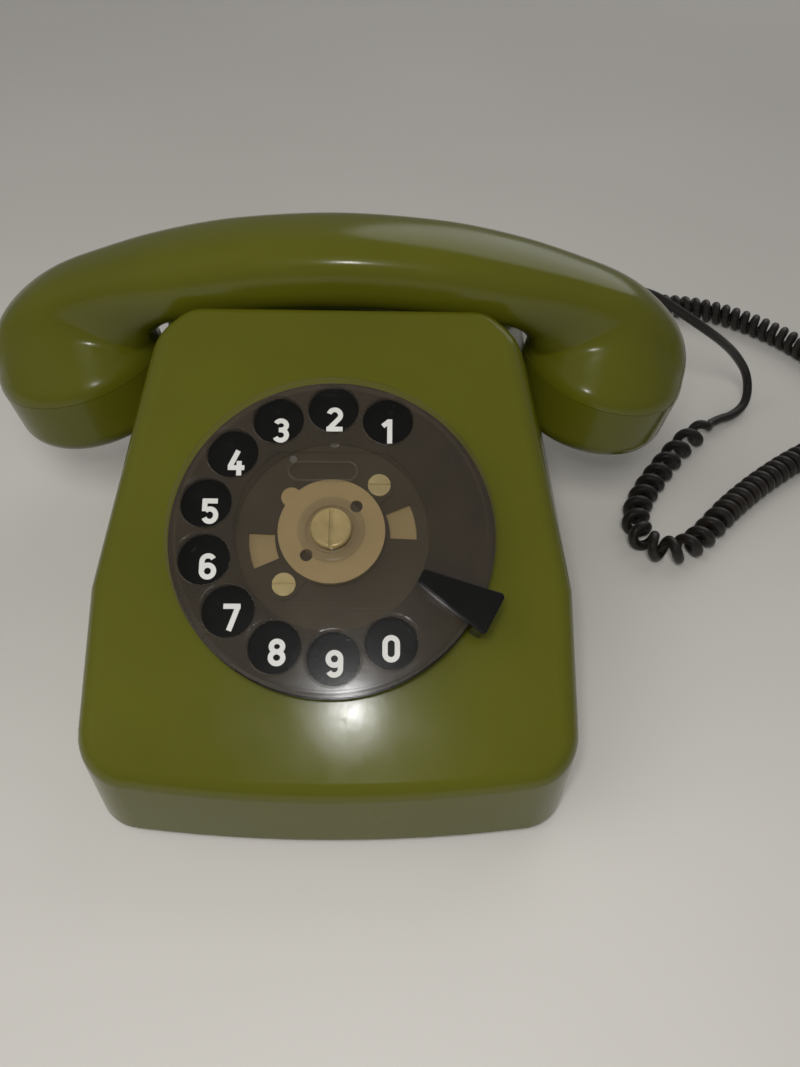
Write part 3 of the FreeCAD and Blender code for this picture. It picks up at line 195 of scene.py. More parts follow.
# Cups: a drum above each seam whose edge rounds into a cone, which meets the neck in a hollow.
# The drums begin at a swing in radians, and the hollow fades out at the seam.
DRUM_EDGE_HEIGHT = 3.0
DRUM_EDGE_ROUND = 2.5
DRUM_SLOPE = 1.0
DRUM_FIRST_SWING = 0.2
DRUM_HOLLOW = 8.0
DRUM_HOLLOW_SHARE = 0.55
DRUM_HOLLOW_FADE = 8.0
DRUM_HOLLOW_LEAST = 1e-9

# Curly cord: pitch of its turns along the route, and the route's points
WIRE_RADIUS = 1.8
CURL_RADIUS = 3.3
TIGHT_PITCH = 4.7
BEND_PITCH = 6.8
OPEN_PITCH = 11.3
START_PITCH = 10.0
START_RAMP = 30.0
BEND_RAMP = 10.0
CURL_RAMP = 16.0
ROUTE_RESOLUTION = 24
ROUTE_SAMPLES = 4800
POINTS_PER_TURN = 22
TAIL_ALLOWANCE = 1.15
WIRE_SIDES = 12
WIRE_FIRST_NORMAL = (0.3, 0.2, 1)
COIL_LIFT = 5.2
ROUTE = [
    (38.0, 100.1, 14.0),
    (38.0, 109.5, 13.4),
    (41.5, 121.0, 10.0),
    (52.0, 136.0, 6.5),
    (71.0, 150.0, COIL_LIFT),
    (98.0, 163.0, COIL_LIFT),
    (129.0, 171.0, COIL_LIFT),
    (159.0, 170.5, COIL_LIFT),
    (183.0, 158.0, COIL_LIFT),
    (202.0, 138.0, COIL_LIFT),
    (212.5, 113.0, COIL_LIFT),
    (209.5, 88.5, COIL_LIFT),
    (195.0, 72.0, COIL_LIFT),
    (176.0, 61.5, COIL_LIFT),
    (157.0, 47.5, COIL_LIFT),
    (140.0, 32.5, COIL_LIFT),
    (126.5, 17.5, COIL_LIFT),
    (116.0, 10.5, COIL_LIFT),
    (106.0, 14.5, COIL_LIFT),
    (103.8, 25.0, COIL_LIFT),
    (108.0, 36.5, COIL_LIFT),
    (120.0, 54.0, COIL_LIFT),
    (134.5, 72.0, COIL_LIFT),
    (149.0, 85.0, COIL_LIFT - 0.8),
    (159.5, 91.0, 2.5),
    (166.5, 98.0, 4.5),
    (166.0, 105.0, 13.0),
    (156.5, 101.5, 25.0),
    (146.0, 95.5, 35.5),
    (134.5, 91.5, 44.5),
    (122.5, 90.5, 52.5),
    (111.0, 90.0, 59.5),
    (101.21, 83.83, 63.67),
    (97.50, 74.65, 63.67),
]
COIL_START = 4
COIL_END = 23
BEND_START = 15
BEND_END = 20

# Floor and sky, in metres
FLOOR_HALF = 6.0
FLOOR_SCALE = 3.0
FLOOR_PLACES = (0.3, 0.7)
FLOOR_TONES = ((0.56, 0.535, 0.49), (0.60, 0.575, 0.53))
FLOOR_ROUGHNESS = 0.9
SKY_STRENGTH = 0.17

# A soft key by the camera that gives no glare, a small lamp for the glints, and two wide fills:
# place, target and width in metres, power in watts, and whether reflections show the lamp
LAMPS = [
    ("key", (-0.009, -0.260, 0.413), (0.0, -0.02, 0.05), 0.16, 1.05, False),
    ("glint", (-0.003, -0.178, 0.248), (0.0, -0.02, 0.05), 0.012, 0.06, True),
    ("fill", (-1.0, -0.35, 1.1), (0, 0, 0), 1.4, 6.5, False),
    ("back", (0.7, 1.2, 1.1), (0, 0, 0), 1.6, 6.5, True),
]


# Helpers
def ease(share):
    share = np.clip(share, 0, 1)
    return share * share * (3 - 2 * share)


def add_object(name, data):
    obj = bpy.data.objects.new(name, data)
    bpy.context.collection.objects.link(obj)
    return obj


# Faces between closed rows of points
def bridge(mesh, rows):
    for row, after in zip(rows, rows[1:]):
        count = len(row)
        for k in range(count):
            mesh.faces.new((row[k], row[(k + 1) % count], after[(k + 1) % count], after[k]))


def close_ends(mesh, rows):
    mesh.faces.new(reversed(rows[0]))
    mesh.faces.new(rows[-1])


def make_camera():
    down = math.radians(CAMERA_DEPRESSION)
    yaw = math.radians(CAMERA_YAW)
    roll = math.radians(CAMERA_ROLL)
    ahead = Vector((math.sin(yaw) * math.cos(down), math.cos(yaw) * math.cos(down), -math.sin(down)))
    level = Vector((math.cos(yaw), -math.sin(yaw), 0))
    drop = ahead.cross(level)
    right = level * math.cos(roll) + drop * math.sin(roll)
    below = drop * math.cos(roll) - level * math.sin(roll)
    data = bpy.data.cameras.new("camera")
    data.sensor_width = SENSOR
    data.lens = FOCAL_PIXELS * SENSOR / IMAGE_HEIGHT
    data.clip_start = CAMERA_NEAR * MM
    camera = add_object("camera", data)
    turn = Matrix((right, -below, -ahead)).transposed().to_4x4()
    camera.matrix_world = Matrix.Translation(Vector(CAMERA_PLACE) * MM) @ turn
    bpy.context.scene.camera = camera


# Materials
def new_material(name):
    material = bpy.data.materials.new(name)
    material.use_nodes = True
    tree = material.node_tree
    return material, tree, tree.nodes["Principled BSDF"]


def noise(tree, scale, detail=3.0, roughness=0.5):
    coordinate = tree.nodes.new("ShaderNodeTexCoord")
    texture = tree.nodes.new("ShaderNodeTexNoise")
    texture.inputs["Scale"].default_value = scale
    texture.inputs["Detail"].default_value = detail
    texture.inputs["Roughness"].default_value = roughness
    tree.links.new(coordinate.outputs["Object"], texture.inputs["Vector"])
    return texture.outputs["Fac"]


def ramp(tree, factor, places, colours):
    node = tree.nodes.new("ShaderNodeValToRGB")
    elements = node.color_ramp.elements
    while len(elements) < len(places):
        elements.new(0.5)
    for element, place, colour in zip(elements, places, colours):
        element.position = place
        element.color = (*colour, 1.0)
    tree.links.new(factor, node.inputs["Fac"])
    return node.outputs["Color"]


def grey(value):
    return (value, value, value)


def greys(values, share=1.0):
    return [grey(share * value) for value in values]


def shade(colour, share):
    return tuple(channel * share for channel in colour)


def combine(tree, operation, first, second):
    node = tree.nodes.new("ShaderNodeMath")
    node.operation = operation
    tree.links.new(first, node.inputs[0])
    if isinstance(second, float):
        node.inputs[1].default_value = second
    else:
        tree.links.new(second, node.inputs[1])
    return node.outputs["Value"]


def bump(tree, shader, height, strength, depth):
    node = tree.nodes.new("ShaderNodeBump")
    node.inputs["Strength"].default_value = strength
    node.inputs["Distance"].default_value = depth * MM
    tree.links.new(height, node.inputs["Height"])
    tree.links.new(node.outputs["Normal"], shader.inputs["Normal"])


# Hairline scratches: long thin cells, kept to patches
def scratches(tree, scale, share):
    coordinate = tree.nodes.new("ShaderNodeTexCoord")
    stretch = tree.nodes.new("ShaderNodeMapping")
    stretch.inputs["Rotation"].default_value = SCRATCH_TURN
    stretch.inputs["Scale"].default_value = SCRATCH_STRETCH
    cells = tree.nodes.new("ShaderNodeTexVoronoi")
    cells.feature = "DISTANCE_TO_EDGE"
    cells.inputs["Scale"].default_value = scale
    tree.links.new(coordinate.outputs["Object"], stretch.inputs["Vector"])
    tree.links.new(stretch.outputs["Vector"], cells.inputs["Vector"])
    lines = ramp(tree, cells.outputs["Distance"], (0.0, SCRATCH_WIDTH), greys((1.0, 0.0)))
    patch = noise(tree, SCRATCH_PATCH_SCALE, detail=2.0)
    patches = ramp(tree, patch, (1 - share, 1.0), greys((0.0, 1.0)))
    return combine(tree, "MULTIPLY", lines, patches)


# A moulded plastic: slow drift of colour, wiped smears and hairlines in the gloss, and a fine skin
def plastic(name, colour, rough, drift=0.12, skin=0.05, shine=0.5, scuff=0.0):
    material, tree, shader = new_material(name)
    tones = [shade(colour, 1 - drift), shade(colour, 1 + drift)]
    tone = ramp(tree, noise(tree, TONE_SCALE, detail=4.0), TONE_PLACES, tones)
    tree.links.new(tone, shader.inputs["Base Color"])
    wiped = noise(tree, SMEAR_SCALE, detail=6.0, roughness=0.62)
    smear = ramp(tree, wiped, SMEAR_PLACES, greys(SMEAR_SHARES, rough))
    if scuff:
        lines = combine(tree, "MULTIPLY", scratches(tree, SCUFF_SCALE, SCUFF_SHARE), scuff)
        smear = combine(tree, "ADD", smear, lines)
    tree.links.new(smear, shader.inputs["Roughness"])
    bump(tree, shader, noise(tree, SKIN_SCALE, detail=2.0), skin, SKIN_DEPTH)
    shader.inputs["IOR"].default_value = PLASTIC_IOR
    shader.inputs["Specular IOR Level"].default_value = shine
    return material


# A metal with a grain and worn patches in its gloss; worn makes it duller all over
def metal(name, colour, rough, worn=0.0):
    material, tree, shader = new_material(name)
    shader.inputs["Metallic"].default_value = 1.0 - worn
    tones = [shade(colour, METAL_DARK_SHARE), colour]
    tone = ramp(tree, noise(tree, METAL_TONE_SCALE, detail=5.0), METAL_TONE_PLACES, tones)
    tree.links.new(tone, shader.inputs["Base Color"])
    wear = ramp(tree, noise(tree, WEAR_SCALE, detail=4.0), WEAR_PLACES, greys(WEAR_SHARES, rough))
    tree.links.new(wear, shader.inputs["Roughness"])
    bump(tree, shader, noise(tree, GRAIN_SCALE, detail=2.0), GRAIN_STRENGTH, GRAIN_DEPTH)
    return material


# Aged clear acrylic: a thin brown haze over the mechanism.
# Its index of refraction is raised, so that the little that isn't see-through still has the gloss.
def clear_plastic():
    material, tree, shader = new_material("clear_acrylic")
    tones = [shade(HAZE, share) for share in HAZE_SHARES]
    haze = ramp(tree, noise(tree, HAZE_SCALE, detail=5.0, roughness=0.6), HAZE_PLACES, tones)
    tree.links.new(haze, shader.inputs["Base Color"])
    wiped = noise(tree, GLOSS_SCALE, detail=5.0, roughness=0.6)
    gloss = ramp(tree, wiped, GLOSS_PLACES, greys(GLOSS_ROUGHNESS))
    lines = combine(tree, "MULTIPLY", scratches(tree, CLEAR_SCUFF_SCALE, CLEAR_SCUFF_SHARE), CLEAR_SCUFF)
    tree.links.new(combine(tree, "ADD", gloss, lines), shader.inputs["Roughness"])
    edge = tree.nodes.new("ShaderNodeLayerWeight")
    edge.inputs["Blend"].default_value = EDGE_BLEND
    places, opacities = zip(*EDGE_OPACITY)
    tree.links.new(ramp(tree, edge.outputs["Facing"], places, greys(opacities)), shader.inputs["Alpha"])
    shader.inputs["IOR"].default_value = CLEAR_IOR
    shader.inputs["Coat Weight"].default_value = 1.0
    shader.inputs["Coat Roughness"].default_value = COAT_ROUGHNESS
    bump(tree, shader, noise(tree, CLEAR_SKIN_SCALE), CLEAR_SKIN_STRENGTH, SKIN_DEPTH)
    return material


# Materials by the record's slots
MATERIALS = {
    "green_plastic": plastic(
        "olive_plastic", (0.086, 0.087, 0.0045), rough=0.18, drift=0.06, skin=0.03, shine=0.45, scuff=0.2
    ),
    "clear_plastic": clear_plastic(),
    "black_plastic": plastic(
        "black_plastic", (0.0048, 0.0047, 0.0042), rough=0.24, drift=0.3, shine=0.25
    ),
    "dark_plate": plastic("dark_plate", (0.021, 0.016, 0.009), rough=0.42, drift=0.25, shine=0.3),
    "cream_plastic": plastic("cream_plastic", (0.29, 0.205, 0.085), rough=0.42, drift=0.16),
    "brass": metal("brass", (0.62, 0.49, 0.22), rough=0.36, worn=0.5),
    "steel": metal("steel", (0.5, 0.49, 0.46), rough=0.34),
    "cord": plastic("brown_vinyl", (0.0125, 0.0095, 0.0075), rough=0.40, drift=0.25),
    "rubber": plastic("black_rubber", (0.018, 0.018, 0.018), rough=0.7, drift=0.2, skin=0.2),
    "base_metal": plastic("painted_base", (0.03, 0.032, 0.026), rough=0.5, drift=0.15, skin=0.15),
    "gong": metal("gong_metal", (0.62, 0.52, 0.32), rough=0.24),
    "copper": plastic("enamelled_winding", (0.27, 0.085, 0.03), rough=0.38, drift=0.2, skin=0.3),
    "board": plastic("circuit_board", (0.19, 0.105, 0.035), rough=0.55, drift=0.15),
    "zinc": metal("zinc", (0.42, 0.42, 0.4), rough=0.48),
}

# Nodes that look different from the rest of their slot
NODE_MATERIALS = {
    "wheel_screw": metal("aged_brass", (0.40, 0.30, 0.13), rough=0.34, worn=0.6),
    "dial_plate_screws": MATERIALS["brass"],
}


def dress_nodes():
    slots = {entry["node"]: entry["material_slot"] for entry in frame["record"]["subparts"]}
    for name, obj in nodes.items():
        obj.data.materials.clear()
        obj.data.materials.append(NODE_MATERIALS.get(name, MATERIALS[slots[name]]))


# A new object from a built mesh, smooth but for its sharp edges, that may stand for a node
def smooth_piece(name, mesh, slot, body, node=None):
    bmesh.ops.recalc_face_normals(mesh, faces=mesh.faces)
    mesh.verts.index_update()
    places = [tuple(v.co) for v in mesh.verts]
    faces = [[v.index for v in f.verts] for f in mesh.faces]
    mesh.free()
    built = bpy.data.meshes.new(name)
    built.from_pydata(places, [], faces)
    built.polygons.foreach_set("use_smooth", [True] * len(built.polygons))
    built.set_sharp_from_angle(angle=math.radians(SHARP_ANGLE))
    built.materials.append(MATERIALS[slot])
    obj = add_object(name, built)
    shading = obj.modifiers.new("even_shading", "WEIGHTED_NORMAL")
    shading.keep_sharp = True
    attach(obj, body)
    if node:
        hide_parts(node)


# Housing with its two upper panel corners rounded: the radius at a point, and how far in it lies
def corner_place(x, y, z):
    radius = PANEL_CORNER_RADIUS * float(ease((z - TROUGH_FLOOR) / PANEL_CORNER_FADE))
    from_side = BODY_HALF_WIDTH - SIDE_LEAN * (z - SIDE_SHOULDER) - abs(x)
    from_wall = TROUGH_WALL_Y + TROUGH_LEAN * max(0.0, TROUGH_KNEE - z) - y
    return radius, from_side, from_wall


def near_corner(point, margin):
    radius, from_side, from_wall = corner_place(*(c / MM for c in point))
    return radius > 0 and all(-CORNER_OUTSIDE < away < radius + margin for away in (from_side, from_wall))


def rounded_corner(point):
    if not near_corner(point, 0.0):
        return point
    x, y, z = (c / MM for c in point)
    radius, from_side, from_wall = corner_place(x, y, z)
    out = Vector((radius - from_side, radius - from_wall))
    out *= max(out) / out.length
    new_x = math.copysign(abs(x) + from_side - radius + out.x, x)
    new_y = y + from_wall - radius + out.y
    return Vector((new_x, new_y, z + (new_y - y) * math.tan(math.radians(PANEL_SLOPE)))) * MM


# Edges by the corners that are too long to follow the rounding
def long_corner_edges(mesh):
    found = []
    for edge in mesh.edges:
        start, end = (v.co for v in edge.verts)
        low = max(start.z, end.z) < TROUGH_FLOOR * MM
        behind = min(start.y, end.y) > (TROUGH_WALL_Y + CORNER_BEHIND) * MM
        if low or behind or edge.calc_length() < PANEL_CORNER_EDGE * MM:
            continue
        along = [start.lerp(end, k / EDGE_SAMPLES) for k in range(EDGE_SAMPLES + 1)]
        if any(near_corner(point, CORNER_MARGIN) for point in along):
            found.append(edge)
    return found


def make_housing():
    mesh = bmesh.new()
    mesh.from_mesh(nodes["housing"].data)
    bmesh.ops.remove_doubles(mesh, verts=mesh.verts, dist=WELD_DISTANCE * MM)
    for _ in range(CORNER_PASSES):
        bmesh.ops.subdivide_edges(mesh, edges=long_corner_edges(mesh), cuts=1, use_single_edge=True)
        bmesh.ops.triangulate(mesh, faces=[f for f in mesh.faces if len(f.verts) > 3])
    for vert in mesh.verts:
        vert.co = rounded_corner(vert.co)
    smooth_piece("housing_moulding", mesh, "green_plastic", "base", "housing")


# Handset shell, swept along the grip and round both bends: a ring is four cubic quarters
def oval(place, low, high, half_depth, squareness):
    middle = (low + high) / 2
    half = (high - low) / 2
    corners = [(1, 0), (0, 1), (-1, 0), (0, -1)]
    ring = []
    for quarter in range(4):
        start = np.array(corners[quarter], float)
        end = np.array(corners[(quarter + 1) % 4], float)
        for step in range(QUARTER_POINTS):
            t = step / QUARTER_POINTS
            along, across = (
                (1 - t) ** 3 * start
                + 3 * t * (1 - t) ** 2 * (start + squareness * end)
                + 3 * t * t * (1 - t) * (end + squareness * start)
                + t**3 * end
            )
            ring.append(place(middle + half * along, HANDSET_Y + half_depth * across))
    return np.array(ring)


def bend_height():
    return HANDLE_BOTTOM - BEND_X**2 / (2 * HANDLE_ARCH_RADIUS) - BEND_RADIUS


def bend_ring(side, share, reach, half_depth, squareness):
    swing = math.radians(share * CUP_ANGLE)

    def place(radius, y):
        return (side * (BEND_X + radius * math.sin(swing)), y, bend_height() + radius * math.cos(swing))

    return oval(place, BEND_RADIUS, BEND_RADIUS + reach, half_depth, squareness)


def grip_ring(x):
    fall = x * x / (2 * HANDLE_ARCH_RADIUS)

    def place(z, y):
        return (x, y, z)

    return oval(place, HANDLE_BOTTOM - fall, HANDLE_TOP - fall, HANDLE_HALF_DEPTH, HANDLE_SQUARENESS)


# Natural cubic spline through rows of values
def smooth_through(knots, values, wanted):
    spans = np.diff(knots)
    count = len(knots)
    matrix = np.eye(count)
    right = np.zeros_like(values)
    for k in range(1, count - 1):
        matrix[k, k - 1 : k + 2] = spans[k - 1], 2 * (spans[k - 1] + spans[k]), spans[k]
        rise = (values[k + 1] - values[k]) / spans[k] - (values[k] - values[k - 1]) / spans[k - 1]
        right[k] = 6 * rise
    bends = np.linalg.solve(matrix, right.reshape(count, -1)).reshape(values.shape)
    index = np.clip(np.searchsorted(knots, wanted) - 1, 0, count - 2)
    span = spans[index][:, None, None]
    after = (wanted - knots[index])[:, None, None]
    before = span - after
    cubic = (bends[index] * before**3 + bends[index + 1] * after**3) / (6 * span)
    near = (values[index] / span - bends[index] * span / 6) * before
    far = (values[index + 1] / span - bends[index + 1] * span / 6) * after
    return cubic + near + far


# Distance by which the drum's edge has drawn in at a height above the seam
def drawn_in(height):
    above = height - DRUM_EDGE_HEIGHT
    return DRUM_SLOPE * (above + np.sqrt(above**2 + DRUM_EDGE_ROUND**2)) / 2


# The swept neck swells to the drum wherever the drum is the deeper of the two
def with_drums(skin):
    out = np.abs(skin[..., 0]) - BEND_X
    up = skin[..., 2] - bend_height()
    swing = np.arctan2(out, up)
    to_seam = math.radians(CUP_ANGLE) - swing
    height = np.hypot(out, up) * np.sin(to_seam)
    away = np.hypot(out, up) * np.cos(to_seam) - BEND_RADIUS - CUP_RADIUS
    radius = np.maximum(CUP_RADIUS - drawn_in(height) + drawn_in(0.0), 0.0)
    drum = np.sqrt(np.maximum(radius**2 - away**2, 0.0))
    drum = np.where(swing > DRUM_FIRST_SWING, drum, 0.0)
    neck = np.abs(skin[..., 1] - HANDSET_Y)
    deeper = np.maximum(neck, drum)
    hollow = np.minimum(DRUM_HOLLOW, DRUM_HOLLOW_SHARE * deeper)
    hollow = hollow * np.clip(height / DRUM_HOLLOW_FADE, 0.0, 1.0) + DRUM_HOLLOW_LEAST
    blend = np.maximum(hollow - np.abs(neck - drum), 0.0) / hollow
    depth = deeper + blend**2 * hollow / 4
    swollen = skin.copy()
    swollen[..., 1] = HANDSET_Y + np.sign(skin[..., 1] - HANDSET_Y) * depth
    return swollen


# The seam's ring drawn in a little, for the chamfer that ends the shell
def rim(ring):
    middle = (ring.max(axis=0) + ring.min(axis=0)) / 2
    return middle + (ring - middle) * (1 - RIM_CHAMFER / CUP_RADIUS)


def make_handset_shell():
    left = [bend_ring(-1, *station) for station in reversed(BEND_STATIONS)]
    grip = [grip_ring(x) for x in (-HANDLE_STATION, 0.0, HANDLE_STATION)]
    right = [bend_ring(1, *station) for station in BEND_STATIONS]
    rings = np.array(left + grip + right)
    steps = np.linalg.norm(np.diff(rings, axis=0), axis=2).mean(axis=1)
    knots = np.concatenate([[0.0], np.cumsum(steps)])
    skin = with_drums(smooth_through(knots, rings, np.linspace(0, knots[-1], SHELL_RINGS)))
    skin = np.concatenate([[rim(skin[0])], skin, [rim(skin[-1])]])
    mesh = bmesh.new()
    rows = [[mesh.verts.new(Vector(place) * MM) for place in ring] for ring in skin]
    bridge(mesh, rows)
    close_ends(mesh, rows)
    smooth_piece("handset_moulding", mesh, "green_plastic", "handset", "handset_shell")


# Dial
def dial_matrix():
    return Matrix.Translation(Vector(DIAL_CENTRE) * MM) @ Matrix.Rotation(math.radians(PANEL_SLOPE), 4, "X")


def arc(x, y, across, up, start, end):
    count = max(ARC_LEAST_STEPS, int(abs(end - start) / ARC_STEP))
    angles = [math.radians(start + (end - start) * k / count) for k in range(count + 1)]
    return [(x + across * math.cos(a), y + up * math.sin(a)) for a in angles]


def turned(strokes):
    return [[(-x, -y) for x, y in stroke] for stroke in strokes]


# Digits on the number ring, drawn with one stroke width in a box one unit high
SIDE = 0.225
TOP = (1 - DIGIT_STROKE) / 2
END = 0.5
UPPER = 0.19
LOWER = TOP - UPPER
ZERO = arc(0, TOP - SIDE, SIDE, SIDE, 0, 180) + arc(0, SIDE - TOP, SIDE, SIDE, 180, 360)
SIX = [
    arc(0, TOP - SIDE, SIDE, SIDE, 30, 180) + [(-SIDE, SIDE - TOP)],
    arc(0, SIDE - TOP, SIDE, SIDE, 180, 540),
]
DIGIT_STROKES = {
    "0": [ZERO + [(SIDE, TOP - SIDE)]],
    "1": [[(0.07, -END), (0.07, END)], [(-0.2, 0.21), (0.05, 0.42)]],
    "2": [
        arc(0, TOP - SIDE, SIDE, SIDE, 165, -35) + [(-SIDE, -TOP)],
        [(-SIDE - 0.09, -TOP), (SIDE + 0.09, -TOP)],
    ],
    "3": [
        arc(0, TOP - UPPER, SIDE - 0.015, UPPER, 155, -90) + [(-0.08, TOP - 2 * UPPER)],
        arc(0, LOWER - TOP, SIDE, LOWER, 90, -155),
    ],
    "4": [
        [(0.06, END), (-SIDE - 0.02, -0.17)],
        [(-SIDE - 0.09, -0.19), (SIDE + 0.09, -0.19)],
        [(0.11, 0.08), (0.11, -END)],
    ],
    "5": [
        [(-SIDE - 0.06, TOP), (SIDE + 0.05, TOP)],
        [(-SIDE + 0.02, END - 0.03), (-SIDE + 0.02, 0.0)],
        arc(0, SIDE + 0.02 - TOP, SIDE, SIDE + 0.02, 140, -155),
    ],
    "6": SIX,
    "7": [[(-SIDE - 0.09, TOP), (SIDE + 0.09, TOP)], [(SIDE + 0.01, TOP + 0.02), (-0.08, -END)]],
    "8": [
        arc(0, TOP - UPPER, SIDE - 0.02, UPPER, -90, 270),
        arc(0, LOWER - TOP, SIDE, LOWER, 90, 450),
    ],
    "9": turned(SIX),
}


# A flat bar along a stroke, with square ends
def add_bar(mesh, stroke, half_width, base, top):
    line = [Vector((x, y, 0)) for x, y in stroke]
    rows = []
    for k, point in enumerate(line):
        way = line[min(k + 1, len(line) - 1)] - line[max(k - 1, 0)]
        side = Vector((-way.y, way.x, 0)).normalized() * half_width
        corners = [(1, base), (-1, base), (-1, top), (1, top)]
        rows.append([mesh.verts.new(point + side * sign + Vector((0, 0, z))) for sign, z in corners])
    bridge(mesh, rows)
    close_ends(mesh, rows)


def make_digits():
    paint = plastic("white_paint", (0.62, 0.61, 0.565), rough=0.5, drift=0.1, skin=0.1)
    place = dial_matrix()
    for index, digit in enumerate(DIGITS):
        angle = math.radians(FIRST_DIGIT_ANGLE + DIGIT_STEP * index)
        mesh = bmesh.new()
        for layer, stroke in enumerate(DIGIT_STROKES[digit]):
            height = DIGIT_THICKNESS + layer * STROKE_STEP
            outline = [(x * DIGIT_HEIGHT, y * DIGIT_HEIGHT) for x, y in stroke]
            add_bar(mesh, outline, DIGIT_STROKE * DIGIT_HEIGHT / 2, -STROKE_STEP, height)
        bmesh.ops.recalc_face_normals(mesh, faces=mesh.faces)
        bmesh.ops.scale(mesh, vec=(MM, MM, MM), verts=mesh.verts)
        data = bpy.data.meshes.new("digit_" + digit)
        mesh.to_mesh(data)
        mesh.free()
        data.materials.append(paint)
        obj = add_object("digit_" + digit, data)
        across = DIGIT_RADIUS * math.cos(angle)
        up = DIGIT_RADIUS * math.sin(angle) - DIGIT_DROP
        obj.matrix_world = place @ Matrix.Translation(Vector((across, up, NUMBER_RING_TOP)) * MM)
        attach(obj, "base")


# A raised ring round a slot of the given reach to each side, or round a point
def make_ring(name, place, reach, profile):
    mesh = bmesh.new()
    rows = []
    for k in range(RING_SIDES):
        angle = 2 * math.pi * (k + 0.5) / RING_SIDES
        way = Vector((math.cos(angle), math.sin(angle), 0))
        middle = Vector((place[0] + math.copysign(reach, way.x), place[1], 0))
        rows.append([mesh.verts.new((middle + way * out + Vector((0, 0, z))) * MM) for out, z in profile])
    bridge(mesh, rows + rows[:1])
    bmesh.ops.transform(mesh, matrix=dial_matrix(), verts=mesh.verts)
    smooth_piece(name, mesh, "clear_plastic", "dial")


# Curly cord: points read from the smooth line of its route, in metres
def route_points():
    curve = bpy.data.curves.new("cord_route", "CURVE")
    curve.dimensions = "3D"
    curve.resolution_u = ROUTE_RESOLUTION
    spline = curve.splines.new("NURBS")
    spline.points.add(len(ROUTE) - 1)
    for point, place in zip(spline.points, ROUTE):
        point.co = (*(c * MM for c in place), 1.0)
    spline.order_u = 3
    spline.use_endpoint_u = True
    carrier = add_object("cord_route", curve)
    bpy.context.view_layer.update()
    mesh = bpy.data.meshes.new_from_object(carrier)
    points = np.array([v.co for v in mesh.vertices], float)
    bpy.data.objects.remove(carrier)
    bpy.data.meshes.remove(mesh)
    return points


def lengths(points):
    steps = np.linalg.norm(np.diff(points, axis=0), axis=1)
    return np.concatenate([[0.0], np.cumsum(steps)])


def evenly(points, count):
    along = lengths(points)
    wanted = np.linspace(0, along[-1], count)
    return np.stack([np.interp(wanted, along, points[:, k]) for k in range(3)], 1)


def directions(points):
    ways = np.gradient(points, axis=0)
    return ways / np.linalg.norm(ways, axis=1)[:, None]


# Normals carried along a line without twisting
def carried_normals(ways, first):
    normals = []
    normal = np.array(first, float)
    for way in ways:
        normal = normal - way * normal.dot(way)
        normal /= np.linalg.norm(normal)
        normals.append(normal)
    return np.array(normals)


# The wire's line: a helix round the route, close at first, opening round the bend and to its end
def curl_line():
    line = evenly(route_points(), ROUTE_SAMPLES)
    along = lengths(line)

    def station(index):
        corner = np.array(ROUTE[index]) * MM
        return along[np.argmin(np.linalg.norm(line - corner, axis=1))]

    first, last = station(COIL_START), station(COIL_END)
    turn_first, turn_last = station(BEND_START), station(BEND_END)
    pitch = START_PITCH + (TIGHT_PITCH - START_PITCH) * ease((along - first) / (START_RAMP * MM))
    pitch = pitch + (BEND_PITCH - TIGHT_PITCH) * ease((along - turn_first) / (BEND_RAMP * MM))
    pitch = pitch + (OPEN_PITCH - BEND_PITCH) * ease((along - turn_last) / (last - turn_last))
    inside = (along >= first) & (along <= last)
    rate = np.where(inside, 1 / (pitch * MM), 0.0)
    turns = np.concatenate([[0.0], np.cumsum(0.5 * (rate[1:] + rate[:-1]) * np.diff(along))])
    opening = ease((along - first) / (CURL_RAMP * MM))
    closing = ease((last - along) / (CURL_RAMP * MM))
    reach = CURL_RADIUS * MM * opening * closing
    ways = directions(line)
    normals = carried_normals(ways, (0, 0, 1))
    sides = np.cross(ways, normals)
    angle = 2 * np.pi * turns
    wound = line + reach[:, None] * (normals * np.cos(angle)[:, None] + sides * np.sin(angle)[:, None])
    return evenly(wound, int(turns[-1] * POINTS_PER_TURN * TAIL_ALLOWANCE))


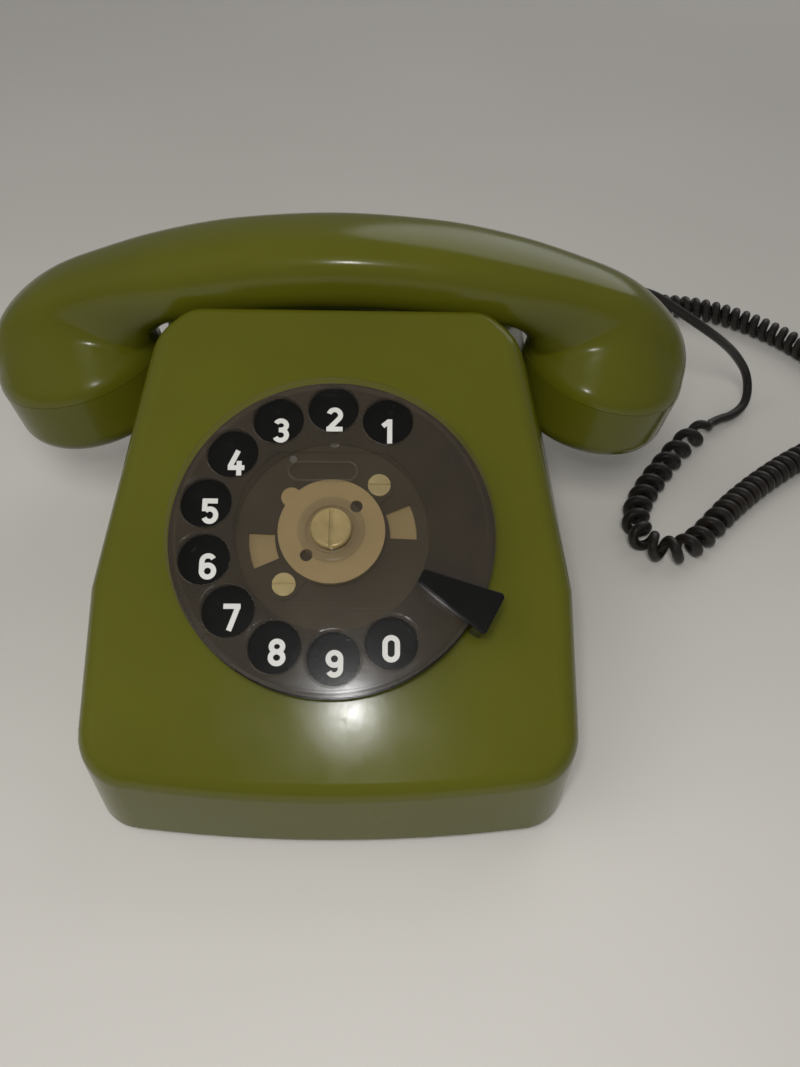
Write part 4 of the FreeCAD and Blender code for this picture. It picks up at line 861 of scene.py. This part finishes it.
def tube_mesh(name, points, radius, count):
    ways = directions(points)
    normals = carried_normals(ways, WIRE_FIRST_NORMAL)
    sides = np.cross(ways, normals)
    angles = np.linspace(0, 2 * np.pi, count, endpoint=False)
    outward = normals[:, None, :] * np.cos(angles)[None, :, None]
    sideways = sides[:, None, :] * np.sin(angles)[None, :, None]
    verts = (points[:, None, :] + radius * (outward + sideways)).reshape(-1, 3)
    faces = []
    for ring in range(len(points) - 1):
        for k in range(count):
            near = ring * count + k
            beside = ring * count + (k + 1) % count
            faces.append((near, beside, beside + count, near + count))
    faces.append(tuple(reversed(range(count))))
    faces.append(tuple(range((len(points) - 1) * count, len(points) * count)))
    mesh = bpy.data.meshes.new(name)
    mesh.from_pydata(verts.tolist(), [], faces)
    mesh.polygons.foreach_set("use_smooth", [True] * len(mesh.polygons))
    mesh.update()
    return mesh


def make_cord():
    points = curl_line()
    mesh = tube_mesh("curly_cord", points, WIRE_RADIUS * MM, WIRE_SIDES)
    mesh.materials.append(MATERIALS["cord"])
    obj = add_object("curly_cord", mesh)
    gland = np.array(ROUTE[-1]) * MM
    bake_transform(obj)
    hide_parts("handset_cord")
    tuple(c * MM for c in ROUTE[0])


# Floor, lamps and sky
def make_floor():
    corners = [(-1, -1), (1, -1), (1, 1), (-1, 1)]
    mesh = bpy.data.meshes.new("floor")
    mesh.from_pydata([(x * FLOOR_HALF, y * FLOOR_HALF, 0) for x, y in corners], [], [(0, 1, 2, 3)])
    material, tree, shader = new_material("pale_floor")
    tone = ramp(tree, noise(tree, FLOOR_SCALE), FLOOR_PLACES, FLOOR_TONES)
    tree.links.new(tone, shader.inputs["Base Color"])
    shader.inputs["Roughness"].default_value = FLOOR_ROUGHNESS
    mesh.materials.append(material)
    floor = add_object("floor", mesh)


def make_lamp(name, place, target, width, power, glossy):
    data = bpy.data.lights.new(name, "AREA")
    data.shape = "DISK"
    data.size = width
    data.energy = power
    lamp = add_object(name, data)
    way = Vector(target) - Vector(place)
    lamp.rotation_euler = way.to_track_quat("-Z", "Y").to_euler()
    lamp.location = place
    lamp.visible_glossy = glossy


def make_light():
    world = bpy.data.worlds.new("studio")
    world.use_nodes = True
    sky = world.node_tree.nodes["Background"]
    sky.inputs["Color"].default_value = (1, 1, 1, 1)
    sky.inputs["Strength"].default_value = SKY_STRENGTH
    bpy.context.scene.world = world
    for settings in LAMPS:
        make_lamp(*settings)


bpy.context.scene.view_settings.view_transform = "Standard"
make_camera()
make_cord()
dress_nodes()
make_housing()
make_handset_shell()
make_digits()
make_ring("hub_boss", (0.0, 0.0), 0.0, BOSS_PROFILE)
make_ring("label_rim", LABEL_PLACE, LABEL_REACH, LABEL_PROFILE)
make_floor()
make_light()
